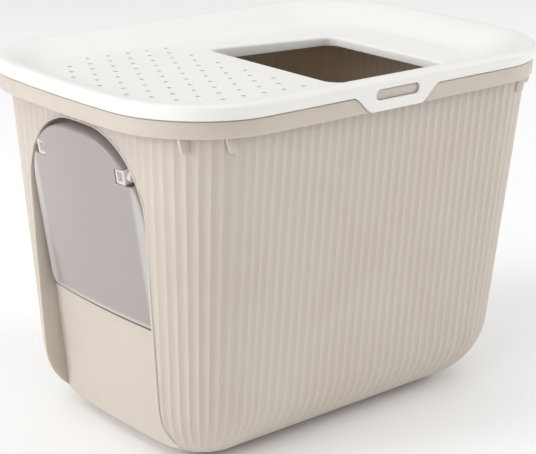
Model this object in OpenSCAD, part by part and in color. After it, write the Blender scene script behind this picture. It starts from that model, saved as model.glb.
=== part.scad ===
// Top entry litter box: a fluted tub with an arched end door, and a dished lid with a top opening.
// Origin: middle of the base, on the floor. +Z is up and the door is at the -X end. Millimetres.

/* [Tub] */
// Length over the tub's walls, just under the flange
tub_len = 518; // [500:1:530]
// Width over the tub's walls, just under the flange
tub_wid = 369; // [350:1:372]
// Height of the flange's lower edge above the floor
flange_z = 374.3; // [340:0.1:400]
// Wall thickness of the tub
wall = 2.6; // [2:0.1:3.2]
// How far each end wall leans in, per millimetre of height
end_draft = 0.0447; // [0.03:0.0001:0.055]
// How far each long wall leans in, per millimetre of height
side_draft = 0.077; // [0.06:0.001:0.09]
// Plan radius of the corners at the flange
corner_top = 71.3; // [66:0.1:80]
// Plan radius of the corners at the floor
corner_base = 79.1; // [74:0.1:84]
// Radius of the rounding between walls and base
base_round = 77.6; // [60:0.1:80]
// How far the middle of each end bows out
end_bow = 6.1; // [3:0.1:9]

/* [Flutes] */
// Pitch of the flutes along the long walls
flute_pitch = 12.03; // [11:0.01:12.5]
// Pitch of the flutes across the ends
end_pitch = 12; // [11:0.1:12.5]
// Depth of the hollow flutes between their ridges
flute_depth = 1.3; // [0.8:0.1:2]
// Share of the pitch that each side of a flute takes
flank = 0.3; // [0.2:0.01:0.4]
// Height where the flutes run out into the base
flute_foot = 8; // [4:1:20]

/* [Flange] */
// Height of the flange band
band_h = 16.9; // [12:0.1:22]
// Thickness of the flange band, its web and its upstand
band_t = 2.4; // [1.8:0.1:3]
// How far the flange band stands back from the lid's edge
band_inset = 2; // [1.5:0.1:3]
// Height of the upstand that the lid sits on
upstand_h = 11; // [8:0.1:11.2]
// Drop of each stacking fin below the flange
fin_drop = 15.5; // [8:0.5:18]
// Thickness of the stacking fins
fin_t = 3; // [2:0.5:4]

/* [Door] */
// Width of the door recess
door_w = 207; // [195:1:212]
// Distance from the flange's lower edge down to the recess's top
door_drop = 14.3; // [12:0.1:20]
// Radius of the recess's top corners
door_round = 85; // [70:1:92]
// Height of the sill under the flap
sill_z = 152.5; // [120:0.5:153]
// Depth of the recess floor at the sill, from the end of the tub at the flange
recess_depth = 29; // [27:0.5:33]
// Lean of the recess floor, per millimetre of height
panel_lean = 0.105; // [0.08:0.005:0.12]
// How far the recess floor bows out in its middle
panel_bow = 7.5; // [4:0.5:8.5]

/* [Flap] */
// Distance of the hinge pins below the recess's top
hinge_drop = 40; // [39:0.5:42]
// Distance of the hinge pins from the end of the tub at the flange
hinge_in = 10; // [9:0.5:12]
// Lean at which the flap hangs
hang_angle = 9; // [6:0.5:11]
// Thickness of the flap
flap_t = 2; // [1.5:0.1:2.5]
// Gap between the flap and the sides of its recess
flap_gap = 7; // [5:0.5:9]
// Gap between the flap and the recess's top
flap_top_gap = 5; // [4.5:0.5:10]
// Gap between the sill and the flap's foot as it swings past
flap_foot_gap = 1.5; // [1.5:0.5:12]
// Radius of the flap's top corners
flap_round = 84; // [70:1:86]
// Radius of the flap's bottom corners
flap_foot_round = 13; // [6:1:20]
// Distance of the flap's face in front of its pins, at its sides
face_out = 11; // [9:0.5:12]
// How far the flap's face bows out in its middle
face_bow = 5; // [2:0.5:6]
// How far the flap's rim reaches behind its pins
rim_back = 4; // [2:0.5:6]
// Diameter of the hinge pins
pin_d = 5; // [4:0.1:6]

/* [Lid] */
// How far each end of the lid reaches past the tub's wall at the flange
lid_over = 26; // [22:0.5:28]
// How far each long side of the lid reaches past the tub's wall at the flange
lid_side_over = 11.8; // [9:0.1:14]
// Height of the lid's edge band above the parting gap
skirt_h = 14.6; // [13.6:0.1:18]
// Thickness of the lid's skirt and latch tabs
skirt_t = 2.2; // [1.8:0.1:2.6]
// Thickness of the lid's top
lid_t = 2.4; // [2:0.1:3]
// Plan radius of the lid's corners
lid_round = 105.2; // [90:0.1:115]
// How far the middle of each lid end bows out
lid_bow = 12.3; // [8:0.1:15]
// Depth of the platform below the lid's edge, in the middle
dish_depth = 17.5; // [14:0.1:20]
// Slope of the platform down towards the opening
dish_slope = 0.02; // [0:0.005:0.03]

/* [Perforations] */
// Diameter of the holes in the platform
hole_d = 6; // [4:0.5:8]
// Pitch of the holes along a row
hole_pitch = 26.5; // [20:0.5:32]
// Spacing of the rows of holes
row_pitch = 23.5; // [18:0.1:28]

/* [Top opening] */
// Length of the top opening
open_len = 175; // [150:1:190]
// Width of the top opening at its longer end
open_wid = 215; // [190:1:225]
// Distance from the platform's right end to the opening
open_end = 63; // [50:1:70]
// Distance from the platform's front edge to the opening
open_edge = 2; // [1:1:12]
// How much narrower the opening is at its right end
open_skew = 17; // [0:1:25]
// Radius of the opening's corners
open_round = 17; // [8:1:30]
// Height of the collar that hangs round the opening
collar_h = 12; // [6:0.5:16]

/* [Latches] */
// Width of each latch tab at the parting line
tab_w = 124; // [100:1:140]
// Width of each latch tab at its foot
tab_foot = 66; // [50:1:80]
// Drop of each latch tab below the parting line
tab_drop = 18.5; // [14:0.1:18.8]
// Length of the slot in each tab
slot_len = 62; // [40:1:70]
// Height of the slot in each tab
slot_h = 11.3; // [8:0.1:12]

/* [Clearances] */
// Gap between the lid's skirt and the flange
parting_gap = 1.2; // [0.6:0.1:2]
// Gap between faces that seat on or slide past each other
seat_gap = 0.3; // [0.2:0.05:0.5]
// Running clearance of a hinge pin, on its radius
pin_gap = 0.05; // [0.03:0.01:0.1]

/* [Hidden] */
$fn = 96;

tub_color = "#e3d6c9";
lid_color = "#f6f5f1";
flap_color = "#b9adb0";
clip_color = "#e9ebec";

// Levels
ledge_z = flange_z + band_h;
skirt_z = ledge_z + parting_gap;
crest_z = skirt_z + skirt_h;
door_top = flange_z - door_drop;
hinge_z = door_top - hinge_drop;

// Half lengths and half widths
panel_x = tub_len / 2 - recess_depth;
hinge_x = tub_len / 2 - hinge_in;
lid_half = [tub_len / 2 + lid_over, tub_wid / 2 + lid_side_over];
side_bow = 0.6;
reach = 1000;
overlap = 1;

// Flutes in a quarter of the outline: straight end, round the corner, straight side
end_flutes = 6;
corner_flutes = 15;
side_flutes = 13;
quarter_flutes = end_flutes + corner_flutes + side_flutes;

// Steps round the base rounding, outside and inside
outer_steps = 6;
inner_steps = 3;

// Half sizes and corner radius of the wall at height z, for a skin that lies inset inside the outer face
function base_in(z, inset) =
    let (r = base_round - inset, drop = r - (z - inset))
    drop <= 0 ? 0 : r - sqrt(max(0, r * r - drop * drop));
function wall_half(z, inset) = [
    tub_len / 2 - end_draft * (flange_z - z) - base_in(z, inset) - inset,
    tub_wid / 2 - side_draft * (flange_z - z) - base_in(z, inset) - inset
];
function wall_corner(z, inset) =
    max(2, corner_top + (corner_base - corner_top) * (1 - z / flange_z) - base_in(z, inset) - inset);

// Bows the ends and sides of a rounded rectangle out in their middles
function bowed(p, half, ends) = [
    p.x - ends * pow(p.y / half.y, 2) * p.x / half.x,
    p.y - side_bow * pow(p.x / half.x, 2) * p.y / half.y
];

// Completes an outline from its first quarter, which runs from the +X axis to just before the +Y axis
function whole(quarter, top) = let (n = len(quarter)) concat(
    quarter,
    [top],
    [for (i = [n - 1:-1:0]) [-quarter[i].x, quarter[i].y]],
    [for (i = [1:n - 1]) -quarter[i]],
    [-top],
    [for (i = [n - 1:-1:1]) [quarter[i].x, -quarter[i].y]]
);

// A plain rounded rectangle with bowed ends
end_steps = 3;
corner_steps = 11;
side_steps = 3;
function plain_ring(half, corner, ends) =
    let (
        quarter = concat(
            [for (i = [0:end_steps - 1]) [half.x, (half.y - corner) * i / end_steps]],
            [for (i = [0:corner_steps]) let (a = 90 * i / corner_steps)
                [half.x - corner + corner * cos(a), half.y - corner + corner * sin(a)]],
            [for (i = [1:side_steps - 1]) [(half.x - corner) * (1 - i / side_steps), half.y]]
        ),
        ring = whole(quarter, [0, half.y])
    )
    [for (p = ring) bowed(p, half, ends)];

// Place and outward direction on the wall's outline at flute coordinate k, 0 in the middle of an end
function wall_spot(k, half, corner) =
    let (
        end_y = end_flutes * end_pitch,
        side_x = side_flutes * flute_pitch,
        run_end = half.y - corner - end_y,
        run_arc = corner * PI / 2,
        run_side = half.x - corner - side_x,
        s = (k - end_flutes) / corner_flutes * (run_end + run_arc + run_side),
        a = (s - run_end) / corner * 180 / PI
    )
    k <= end_flutes ? [half.x, k * end_pitch, 1, 0]
    : k >= end_flutes + corner_flutes ? [(quarter_flutes - k) * flute_pitch, half.y, 0, 1]
    : s < run_end ? [half.x, end_y + s, 1, 0]
    : s < run_end + run_arc
        ? [half.x - corner + corner * cos(a), half.y - corner + corner * sin(a), cos(a), sin(a)]
        : [half.x - corner - (s - run_end - run_arc), half.y, 0, 1];

// The flutes deepen from nothing at flute_foot to their full depth over flute_run
flute_run = 40;
function hollow(z) = flute_depth * max(0, min(1, (z - flute_foot) / flute_run));

// One ring of the fluted skin: three points a flute, the first on the ridge
function fluted_ring(z, inset) =
    let (
        half = wall_half(z, inset),
        corner = wall_corner(z, inset),
        spots = [for (k = [0:quarter_flutes - 1], part = [0, flank, 1 - flank])
            concat(wall_spot(k + part, half, corner), [part == 0 ? 0 : hollow(z)])],
        quarter = [for (s = spots) [s[0] - s[2] * s[4], s[1] - s[3] * s[4]]],
        ring = whole(quarter, [0, half.y])
    )
    [for (p = ring) concat(bowed(p, half, end_bow), [z])];
function smooth_ring(z, inset) =
    [for (p = plain_ring(wall_half(z, inset), wall_corner(z, inset), end_bow)) [p.x, p.y, z]];

// A closed solid through a list of rings that all have the same number of points
function middle(ring) = let (ones = [for (p = ring) 1]) ones * ring / len(ring);
module loft(rings) {
    n = len(rings[0]);
    m = len(rings);
    points = [for (ring = rings, p = ring) p];
    sides = [for (i = [0:m - 2], j = [0:n - 1])
        let (a = i * n + j, b = i * n + (j + 1) % n, c = a + n, d = b + n)
        each [[a, c, b], [b, c, d]]];
    ends = [for (j = [0:n - 1])
        let (a = (m - 1) * n)
        each [[m * n, j, (j + 1) % n], [m * n + 1, a + (j + 1) % n, a + j]]];
    middles = [middle(rings[0]), middle(rings[m - 1])];
    polyhedron(points = concat(points, middles), faces = concat(sides, ends));
}

// Tub
wall_top = ledge_z - band_t / 2;
function level_z(steps, inset) =
    concat([for (i = [0:steps]) inset + (1 - cos(90 * i / steps)) * (base_round - inset)], [wall_top]);

module tub_shell() {
    outer = [for (z = level_z(outer_steps, 0)) fluted_ring(z, 0)];
    inner = [for (z = level_z(inner_steps, wall)) fluted_ring(z, wall)];
    loft(concat(outer, [for (i = [len(inner) - 1:-1:0]) inner[i]]));
}

// The space inside the tub's outer face, with no flutes, at half their depth
bulk_in = flute_depth / 2;
module tub_bulk() {
    loft([for (z = level_z(outer_steps, bulk_in)) smooth_ring(z, bulk_in)]);
}

// The lid's outline in plan, drawn in by inset
module edge_outline(inset) {
    polygon(plain_ring([lid_half.x - inset, lid_half.y - inset], lid_round - inset, lid_bow));
}

module edge_band(inset, thick, low, high) {
    translate([0, 0, low])
        linear_extrude(high - low)
            difference() {
                edge_outline(inset);
                edge_outline(inset + thick);
            }
}

upstand_gap = 1;
upstand_inset = skirt_t + upstand_gap;
module flange() {
    mid = wall / 2 + flute_depth / 2;
    edge_band(band_inset, band_t, flange_z, ledge_z);
    edge_band(upstand_inset, band_t, ledge_z - overlap, ledge_z + upstand_h);
    translate([0, 0, ledge_z - band_t])
        linear_extrude(band_t)
            difference() {
                edge_outline(band_inset);
                polygon([for (p = smooth_ring(wall_top, mid)) [p.x, p.y]]);
            }
}

// Door recess: an arch in the end wall, with a leaning floor below the sill
module arch(grow) {
    r = door_round + grow;
    half = door_w / 2 + grow;
    top = door_top + grow;
    for (side = [-1, 1])
        translate([side * (half - r), top - r])
            circle(r);
    translate([-half, -reach / 2])
        square([2 * half, top - r + reach / 2]);
    translate([r - half, -reach / 2])
        square([2 * (half - r), top + reach / 2]);
}

// An extrusion of an outline in Y and Z along X
module along_x(x0, x1) {
    translate([x0, 0, 0])
        rotate([90, 0, 90])
            linear_extrude(x1 - x0)
                children();
}

// Everything in front of the recess floor, which bows out and leans back, moved back by depth
panel_radius = pow(door_w / 2, 2) / (2 * panel_bow) + panel_bow / 2;
panel_steps = 13;
module before_panel(depth) {
    half = door_w / 2 + 3 * wall;
    floor_line = [for (i = [0:panel_steps])
        let (y = half * (2 * i / panel_steps - 1))
        [depth + panel_radius - sqrt(pow(panel_radius, 2) - y * y), y]];
    translate([-panel_x, 0, sill_z])
        rotate([0, -atan(panel_lean), 0])
            linear_extrude(2 * reach, center = true)
                polygon(concat([[-reach, -half]], floor_line, [[-reach, half]]));
}

boss_wall = 1.9;
pin_hold = 5;
socket_y = door_w / 2 - door_round
    + sqrt(pow(door_round, 2) - pow(hinge_z - door_top + door_round, 2));
pin_end = socket_y + pin_hold;

module pin_bore() {
    translate([-hinge_x, 0, hinge_z])
        rotate([90, 0, 0])
            cylinder(d = pin_d + 2 * pin_gap, h = 2 * (pin_end + overlap), center = true);
}

module recess_lining() {
    difference() {
        intersection() {
            union() {
                along_x(-reach, 0)
                    arch(wall);
                for (side = [-1, 1])
                    translate([-hinge_x, side * pin_end / 2, hinge_z])
                        rotate([90, 0, 0])
                            cylinder(r = pin_d / 2 + boss_wall, h = pin_end + 2 * wall, center = true);
            }
            tub_bulk();
            before_panel(wall);
        }
        difference() {
            along_x(-reach, reach)
                arch(0);
            translate([-reach / 2, -reach / 2, sill_z - reach])
                cube([reach, reach, reach]);
        }
        intersection() {
            along_x(-reach, reach)
                arch(0);
            before_panel(0);
        }
        pin_bore();
    }
}

// Outline of a latch tab in X and Z, grown by gap, with S-shaped sides, carried up by root
tab_steps = 8;
module tab_outline(gap, root) {
    foot_z = skirt_z - tab_drop - gap;
    side = [for (i = [0:tab_steps])
        let (t = i / tab_steps, rise = (tab_drop + gap) * (1 - cos(180 * t)) / 2)
        [tab_foot / 2 + gap + (tab_w - tab_foot) / 2 * t, foot_z + rise]];
    top = side[tab_steps] + [0, root];
    polygon(concat(side, [top, [-top.x, top.y]], [for (i = [tab_steps:-1:0]) [-side[i].x, side[i].y]]));
}

// An extrusion of an outline in X and Z along Y
module across(y0, y1) {
    translate([0, y1, 0])
        rotate([90, 0, 0])
            linear_extrude(y1 - y0)
                children();
}

// Catch block behind each latch slot, and the pocket that the tab hangs in
catch_t = 6;
catch_lap = 1;
slot_drop = 1.2;
slot_z = skirt_z - slot_drop;
tab_back = lid_half.y - skirt_t;
module catches() {
    half = slot_len / 2 + catch_lap;
    high = slot_h + 2 * catch_lap;
    for (side = [0, 180])
        rotate([0, 0, side])
            translate([-half, tab_back - seat_gap - catch_t, slot_z - high / 2])
                cube([2 * half, catch_t, high]);
}
pocket_gap = 0.7;
module tab_pockets() {
    floor_y = tab_back - pocket_gap;
    for (side = [0, 180])
        rotate([0, 0, side])
            across(floor_y, lid_half.y + overlap)
                tab_outline(parting_gap, band_h);
}

// Stacking fins under the flange, two at each corner: how far each lies inside the lid's end and long side
fin_places = [[34, 40.3], [72, 15.3]];
fin_l = 14;
fin_taper = 4;
module fin() {
    rotate([90, 0, 0])
        linear_extrude(fin_t, center = true)
            polygon([[-fin_l, overlap], [0, overlap], [0, 0], [-fin_taper, -fin_drop], [-fin_l, -fin_drop]]);
}
module fins() {
    for (mx = [0, 1], my = [0, 1], place = fin_places)
        mirror([mx, 0, 0])
            mirror([0, my, 0])
                translate([lid_half.x - place[0], lid_half.y - place[1], flange_z])
                    fin();
}

module tub() {
    color(tub_color) {
        difference() {
            tub_shell();
            intersection() {
                along_x(-reach, 0)
                    arch(wall / 2);
                before_panel(wall / 2);
            }
            intersection() {
                along_x(-reach, -panel_x + 2 * wall)
                    arch(wall / 2);
                translate([-reach, -reach / 2, sill_z])
                    cube(reach);
            }
            pin_bore();
        }
        recess_lining();
        difference() {
            flange();
            tab_pockets();
        }
        catches();
        fins();
    }
}

// Lid: the platform's edges, each a slope's width inside the lid's
slope_left = 49;
slope_right = 70;
slope_side = 68.3;
platform_left = lid_half.x - slope_left;
platform_right = lid_half.x - slope_right;
platform_half_wid = lid_half.y - slope_side;
platform_round = 70;
function dish_z(x) = crest_z - dish_depth - dish_slope * x;

// Rings of the lid from the crest, s = 0, to the foot of the dish, s = 1
dish_steps = 5;
crest_in = 7;
function dish_ring(s, drop) =
    let (
        crest_half = [lid_half.x - crest_in, lid_half.y - crest_in],
        foot_half = [(platform_left + platform_right) / 2, platform_half_wid],
        a = plain_ring(crest_half, lid_round - crest_in, lid_bow),
        b = plain_ring(foot_half, platform_round, 0),
        shift = (platform_right - platform_left) / 2,
        ease = (1 - cos(180 * s)) / 2
    )
    [for (i = [0:len(a) - 1])
        let (x = a[i].x * (1 - s) + (b[i].x + shift) * s, y = a[i].y * (1 - s) + b[i].y * s)
        [x, y, crest_z * (1 - ease) + dish_z(x) * ease - drop]];
function edge_ring(inset, z) =
    let (half = [lid_half.x - inset, lid_half.y - inset])
    [for (p = plain_ring(half, lid_round - inset, lid_bow)) [p.x, p.y, z]];

// The lid's edge: the land that sits on the upstand, and the rounded shoulder from the skirt to the crest
land_z = ledge_z + upstand_h + seat_gap;
land_margin = 4;
shoulder = [[0, 4], [1.3, 1.2], [4.6, 0]];
module lid_shell() {
    over = [for (i = [0:dish_steps]) dish_ring(i / dish_steps, 0)];
    under = [for (i = [dish_steps:-1:1]) dish_ring(i / dish_steps, lid_t)];
    loft(concat(
        under,
        [edge_ring(upstand_inset + band_t + land_margin, land_z), edge_ring(skirt_t, land_z)],
        [edge_ring(skirt_t, skirt_z), edge_ring(0, skirt_z)],
        [for (p = shoulder) edge_ring(p.x, crest_z - p.y)],
        over
    ));
}

// The top opening, which is a little narrower at its right end
open_left = open_len + open_end - platform_right;
open_front = platform_half_wid - open_edge;
module opening(grow) {
    r = open_round + grow;
    x0 = -open_left - grow + r;
    x1 = open_len - open_left + grow - r;
    y0 = -open_front - grow + r;
    y1 = open_wid - open_front + grow - r;
    y2 = y1 - open_skew;
    lean = atan2(open_skew, x1 - x0);
    for (c = [[x0, y0], [x1, y0], [x0, y1], [x1, y2]])
        translate(c)
            circle(r);
    polygon([[x0 - r, y0], [x0, y0 - r], [x1, y0 - r], [x1 + r, y0], [x1 + r, y2],
        [x1 + r * sin(lean), y2 + r * cos(lean)], [x0 + r * sin(lean), y1 + r * cos(lean)], [x0 - r, y1]]);
}

// Rows of holes, every other row half a pitch along
hole_margin = 35.8;
last_column = -open_left - hole_margin;
rows = floor((platform_half_wid - hole_d) / row_pitch);
columns = ceil(platform_left / hole_pitch);
end_edge = 4;
hole_edge = 12;
function on_platform(x, y) =
    let (
        r = platform_round - hole_edge,
        dx = -platform_left + platform_round - x,
        dy = abs(y) - (platform_half_wid - platform_round)
    )
    x > -platform_left + end_edge && (dx < 0 || dy < 0 || dx * dx + dy * dy < r * r);
module perforations() {
    for (row = [-rows:rows], column = [0:columns]) {
        x = last_column - hole_pitch * (column + (1 - abs(row % 2)) / 2);
        y = row * row_pitch;
        if (on_platform(x, y))
            translate([x, y, dish_z(x) - 2 * lid_t])
                cylinder(d = hole_d, h = 4 * lid_t, $fn = 24);
    }
}

// A latch tab, which reaches tab_root up inside the skirt's wall
tab_root = 6;
module tab() {
    across(lid_half.y - skirt_t, lid_half.y)
        tab_outline(0, tab_root);
}

module latch_slot() {
    half = slot_len / 2 - slot_h / 2;
    translate([0, lid_half.y, slot_z])
        rotate([90, 0, 0]) {
            for (side = [-1, 1])
                translate([side * half, 0, 0])
                    cylinder(d = slot_h, h = 4 * skirt_t, center = true);
            cube([2 * half, slot_h, 4 * skirt_t], center = true);
        }
}

module lid() {
    color(lid_color)
        difference() {
            union() {
                lid_shell();
                for (side = [0, 180])
                    rotate([0, 0, side])
                        tab();
                translate([0, 0, dish_z(open_len / 2) - collar_h])
                    linear_extrude(collar_h)
                        opening(lid_t);
            }
            translate([0, 0, dish_z(open_len / 2) - 2 * collar_h])
                linear_extrude(4 * collar_h)
                    opening(0);
            perforations();
            for (side = [0, 180])
                rotate([0, 0, side])
                    latch_slot();
        }
}

// Flap, drawn upright about its pins and then hung at its lean
flap_half = door_w / 2 - flap_gap;
flap_above = hinge_drop - flap_top_gap;
flap_below = hinge_z - sill_z - flap_foot_gap;
face_radius = pow(flap_half, 2) / (2 * face_bow) + face_bow / 2;

module flap_outline(inset) {
    half = flap_half - inset;
    top = flap_above - inset;
    foot = -flap_below + inset;
    r = flap_round - inset;
    f = flap_foot_round - inset;
    for (side = [-1, 1]) {
        translate([side * (half - r), top - r])
            circle(r);
        translate([side * (half - f), foot + f])
            circle(f);
    }
    translate([-half, foot + f])
        square([2 * half, top - r - foot - f]);
    translate([r - half, top - r])
        square([2 * (half - r), r]);
    translate([f - half, foot])
        square([2 * (half - f), f + overlap]);
}

// Everything behind the flap's bowed face, which lies depth behind the outer one
module behind_face(depth) {
    translate([face_radius - face_out - face_bow, 0, 0])
        cylinder(r = face_radius - depth, h = 3 * flap_below, center = true, $fn = 720);
}

// Each clip: half its height, its front ahead of the pins, its rim, its pocket and its two ends
clip_half = 8;
clip_front = 9;
clip_rim = 2.5;
clip_pocket = 5;
clip_w = 14.5;
spacer_r = 6;
spacer_gap = 5;
clip_gap = 10.5;
clip_out = socket_y - clip_gap;
clip_in = clip_out - clip_w;
module clip_window() {
    for (side = [-1, 1])
        translate([-clip_front - flap_half, side > 0 ? clip_in : -flap_half - overlap, -clip_half])
            cube([2 * flap_half, flap_half + overlap - clip_in, 2 * clip_half]);
}

module hung() {
    translate([-hinge_x, 0, hinge_z])
        rotate([0, -hang_angle, 0])
            children();
}

module flap() {
    color(flap_color)
        hung()
            difference() {
                intersection() {
                    along_x(-face_out - face_bow - overlap, rim_back)
                        flap_outline(0);
                    behind_face(0);
                }
                intersection() {
                    along_x(-face_out - face_bow - overlap, rim_back + overlap)
                        flap_outline(flap_t);
                    behind_face(flap_t);
                }
                clip_window();
            }
}

// A clip fills the window in the flap's corner and carries the pin
module hinge_clip(side) {
    color(clip_color)
        hung()
            mirror([0, side > 0 ? 0 : 1, 0])
                difference() {
                    union() {
                        translate([-clip_front, clip_in, -clip_half])
                            cube([clip_front + rim_back, clip_out - clip_in, 2 * clip_half]);
                        rotate([-90, 0, 0])
                            translate([0, 0, clip_out - overlap])
                                cylinder(r = spacer_r, h = socket_y - spacer_gap - clip_out + overlap);
                        rotate([-90, 0, 0])
                            translate([0, 0, clip_out - overlap])
                                cylinder(d = pin_d, h = pin_end - clip_out + overlap);
                    }
                    translate([-clip_front - overlap, clip_in + clip_rim, clip_rim - clip_half])
                        cube([clip_pocket + overlap, clip_w - 2 * clip_rim, 2 * (clip_half - clip_rim)]);
                }
}

tub();
lid();
flap();
hinge_clip(1);  // hinge_clip_left
hinge_clip(-1);  // hinge_clip_right
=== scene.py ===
"""Looks of a top entry litter box: fluted tub, dished lid, smoked swing flap and its hinge clips."""
import logging
import math
from collections.abc import Iterable
from dataclasses import dataclass, field
from enum import Enum

import bmesh
import bpy
import numpy as np
from mathutils import Matrix, Vector
from mathutils.geometry import tessellate_polygon


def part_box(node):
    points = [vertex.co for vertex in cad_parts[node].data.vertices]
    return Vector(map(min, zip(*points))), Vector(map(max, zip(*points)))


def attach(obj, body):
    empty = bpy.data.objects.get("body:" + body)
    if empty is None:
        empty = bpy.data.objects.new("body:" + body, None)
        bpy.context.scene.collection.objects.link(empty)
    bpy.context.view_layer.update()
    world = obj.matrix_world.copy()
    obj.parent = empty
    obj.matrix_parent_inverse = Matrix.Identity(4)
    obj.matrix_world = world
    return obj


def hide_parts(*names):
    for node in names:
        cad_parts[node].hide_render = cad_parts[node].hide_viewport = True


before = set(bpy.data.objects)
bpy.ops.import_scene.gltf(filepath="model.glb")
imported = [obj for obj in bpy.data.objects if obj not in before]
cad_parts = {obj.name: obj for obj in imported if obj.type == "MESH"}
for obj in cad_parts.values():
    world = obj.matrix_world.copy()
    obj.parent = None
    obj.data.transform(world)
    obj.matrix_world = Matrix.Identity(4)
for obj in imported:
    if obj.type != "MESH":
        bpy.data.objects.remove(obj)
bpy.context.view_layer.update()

LOG = logging.getLogger("litter_box")

# Sizes are in millimetres, and a mesh is scaled to metres as it is made
MM = 0.001

# Faces of a box whose corners run through X, then Y, then Z
BOX_FACES = [(0, 1, 3, 2), (4, 6, 7, 5), (0, 4, 5, 1), (2, 3, 7, 6), (0, 2, 6, 4), (1, 5, 7, 3)]


class Body(Enum):
    """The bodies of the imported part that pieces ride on."""

    BOX = "box"
    LID = "lid"
    FLAP = "flap"


class Slot(Enum):
    """The record's material slots."""

    TUB = "tub_plastic"
    LID = "lid_plastic"
    SMOKE = "smoke_plastic"
    CLIP = "clip_plastic"


def linear(red: int, green: int, blue: int) -> tuple[float, float, float, float]:
    """Turns a display colour into the linear one that shaders use.

    Args:
        red: Red, 0 to 255.
        green: Green, 0 to 255.
        blue: Blue, 0 to 255.

    Returns:
        The linear colour with full alpha.
    """
    parts = []
    for value in (red, green, blue):
        share = value / 255
        parts.append(share / 12.92 if share <= 0.04045 else ((share + 0.055) / 1.055) ** 2.4)
    return (parts[0], parts[1], parts[2], 1.0)


def link_new(name: str, data: bpy.types.ID) -> bpy.types.Object:
    """Makes an object for a mesh, a camera or a light, and links it to the scene.

    Args:
        name: The object's name.
        data: What the object holds.

    Returns:
        The new object.
    """
    thing = bpy.data.objects.new(name, data)
    bpy.context.scene.collection.objects.link(thing)
    return thing


def loose_points(name: str, places: list[tuple[float, float, float]]) -> bpy.types.Object:
    """Makes an object of loose points for copies to be set on.

    Args:
        name: The object's name.
        places: The points in millimetres.

    Returns:
        The new object.
    """
    mesh = bpy.data.meshes.new(name)
    mesh.from_pydata((np.array(places) * MM).tolist(), [], [])
    return link_new(name, mesh)


def frame_box(node: str) -> tuple[np.ndarray, np.ndarray]:
    """Gives a node's lowest and highest corners in millimetres.

    Args:
        node: The node's name.

    Returns:
        The lowest and the highest corner.
    """
    low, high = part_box(node)
    return np.array(low) / MM, np.array(high) / MM


def plain_mesh(name: str, points: np.ndarray, faces: list[tuple[int, ...]]) -> bpy.types.Object:
    """Makes an object from points in millimetres, with doubles merged and normals out.

    Args:
        name: The object's name.
        points: The points, one row each.
        faces: Indices of each face's points.

    Returns:
        The new object, linked to the scene.
    """
    mesh = bpy.data.meshes.new(name)
    mesh.from_pydata((points * MM).tolist(), [], faces)
    work = bmesh.new()
    work.from_mesh(mesh)
    bmesh.ops.remove_doubles(work, verts=work.verts, dist=1e-6)
    bmesh.ops.recalc_face_normals(work, faces=work.faces)
    work.to_mesh(mesh)
    work.free()
    return link_new(name, mesh)


def upright(outline: np.ndarray, y: float | np.ndarray) -> np.ndarray:
    """Stands an outline drawn in X and Z at a distance along Y.

    Args:
        outline: The outline, one row for each point.
        y: One distance, or one for each point.

    Returns:
        The ring's points.
    """
    return np.column_stack([outline[:, 0], np.broadcast_to(y, len(outline)), outline[:, 1]])


def turned(radius: float, count: int = 48) -> np.ndarray:
    """Lists the points of a circle about the origin in X and Z.

    Args:
        radius: Its radius.
        count: How many points it has.

    Returns:
        The points, anticlockwise from the X axis.
    """
    angles = np.linspace(0, 2 * math.pi, count, endpoint=False)
    return np.column_stack([radius * np.cos(angles), radius * np.sin(angles)])


def box_points(x: tuple, y: tuple, z: tuple) -> np.ndarray:
    """Lists the corners of a box, in the order that BOX_FACES takes them.

    Args:
        x: Its two ends along X.
        y: Its two ends along Y.
        z: Its two ends along Z.

    Returns:
        The eight corners.
    """
    return np.array([(i, j, k) for i in x for j in y for k in z])


def ring_faces(rings: int, count: int, wrap: bool) -> list[tuple[int, ...]]:
    """Lists the four-sided faces between neighbouring rings.

    Args:
        rings: How many rings there are.
        count: How many points each ring has.
        wrap: Whether the last ring joins the first.

    Returns:
        The faces, with outward sides where the rings run anticlockwise and upwards.
    """
    faces = []
    for i in range(rings if wrap else rings - 1):
        above = (i + 1) % rings
        for j in range(count):
            k = (j + 1) % count
            faces.append((i * count + j, i * count + k, above * count + k, above * count + j))
    return faces


def end_faces(rings: int, count: int) -> list[tuple[int, ...]]:
    """Lists the two faces that close a skin at its first and last ring.

    Args:
        rings: How many rings there are.
        count: How many points each ring has.

    Returns:
        The two faces.
    """
    last = (rings - 1) * count
    return [tuple(range(count - 1, -1, -1)), tuple(range(last, last + count))]


def loft(name: str, rings: list[np.ndarray], wrap: bool = False) -> bpy.types.Object:
    """Makes a closed skin through rings that have the same number of points.

    Args:
        name: The object's name.
        rings: The rings in order, in millimetres.
        wrap: Whether the last ring joins the first. Otherwise a face closes each end.

    Returns:
        The new object.
    """
    count = len(rings[0])
    faces = ring_faces(len(rings), count, wrap)
    if not wrap:
        faces += end_faces(len(rings), count)
    return plain_mesh(name, np.vstack(rings), faces)


def keep_result(piece: bpy.types.Object) -> bpy.types.Object:
    """Turns a piece's evaluated modifiers into its plain mesh.

    Args:
        piece: The piece, whose modifiers are then gone.

    Returns:
        The same piece.
    """
    bpy.context.view_layer.update()
    depsgraph = bpy.context.evaluated_depsgraph_get()
    made = bpy.data.meshes.new_from_object(piece.evaluated_get(depsgraph))
    piece.modifiers.clear()
    piece.data = made
    return piece


def combine(piece: bpy.types.Object, others: Iterable[bpy.types.Object], operation: str) -> bpy.types.Object:
    """Cuts other solids from a piece, or joins them to it, and removes them.

    Args:
        piece: The solid that is kept.
        others: The solids that are used up.
        operation: DIFFERENCE, UNION or INTERSECT.

    Returns:
        The changed piece.
    """
    used = list(others)
    for other in used:
        step = piece.modifiers.new("combine", "BOOLEAN")
        step.operation = operation
        step.solver = "EXACT"
        step.object = other
    keep_result(piece)
    for other in used:
        bpy.data.objects.remove(other)
    return piece


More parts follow.
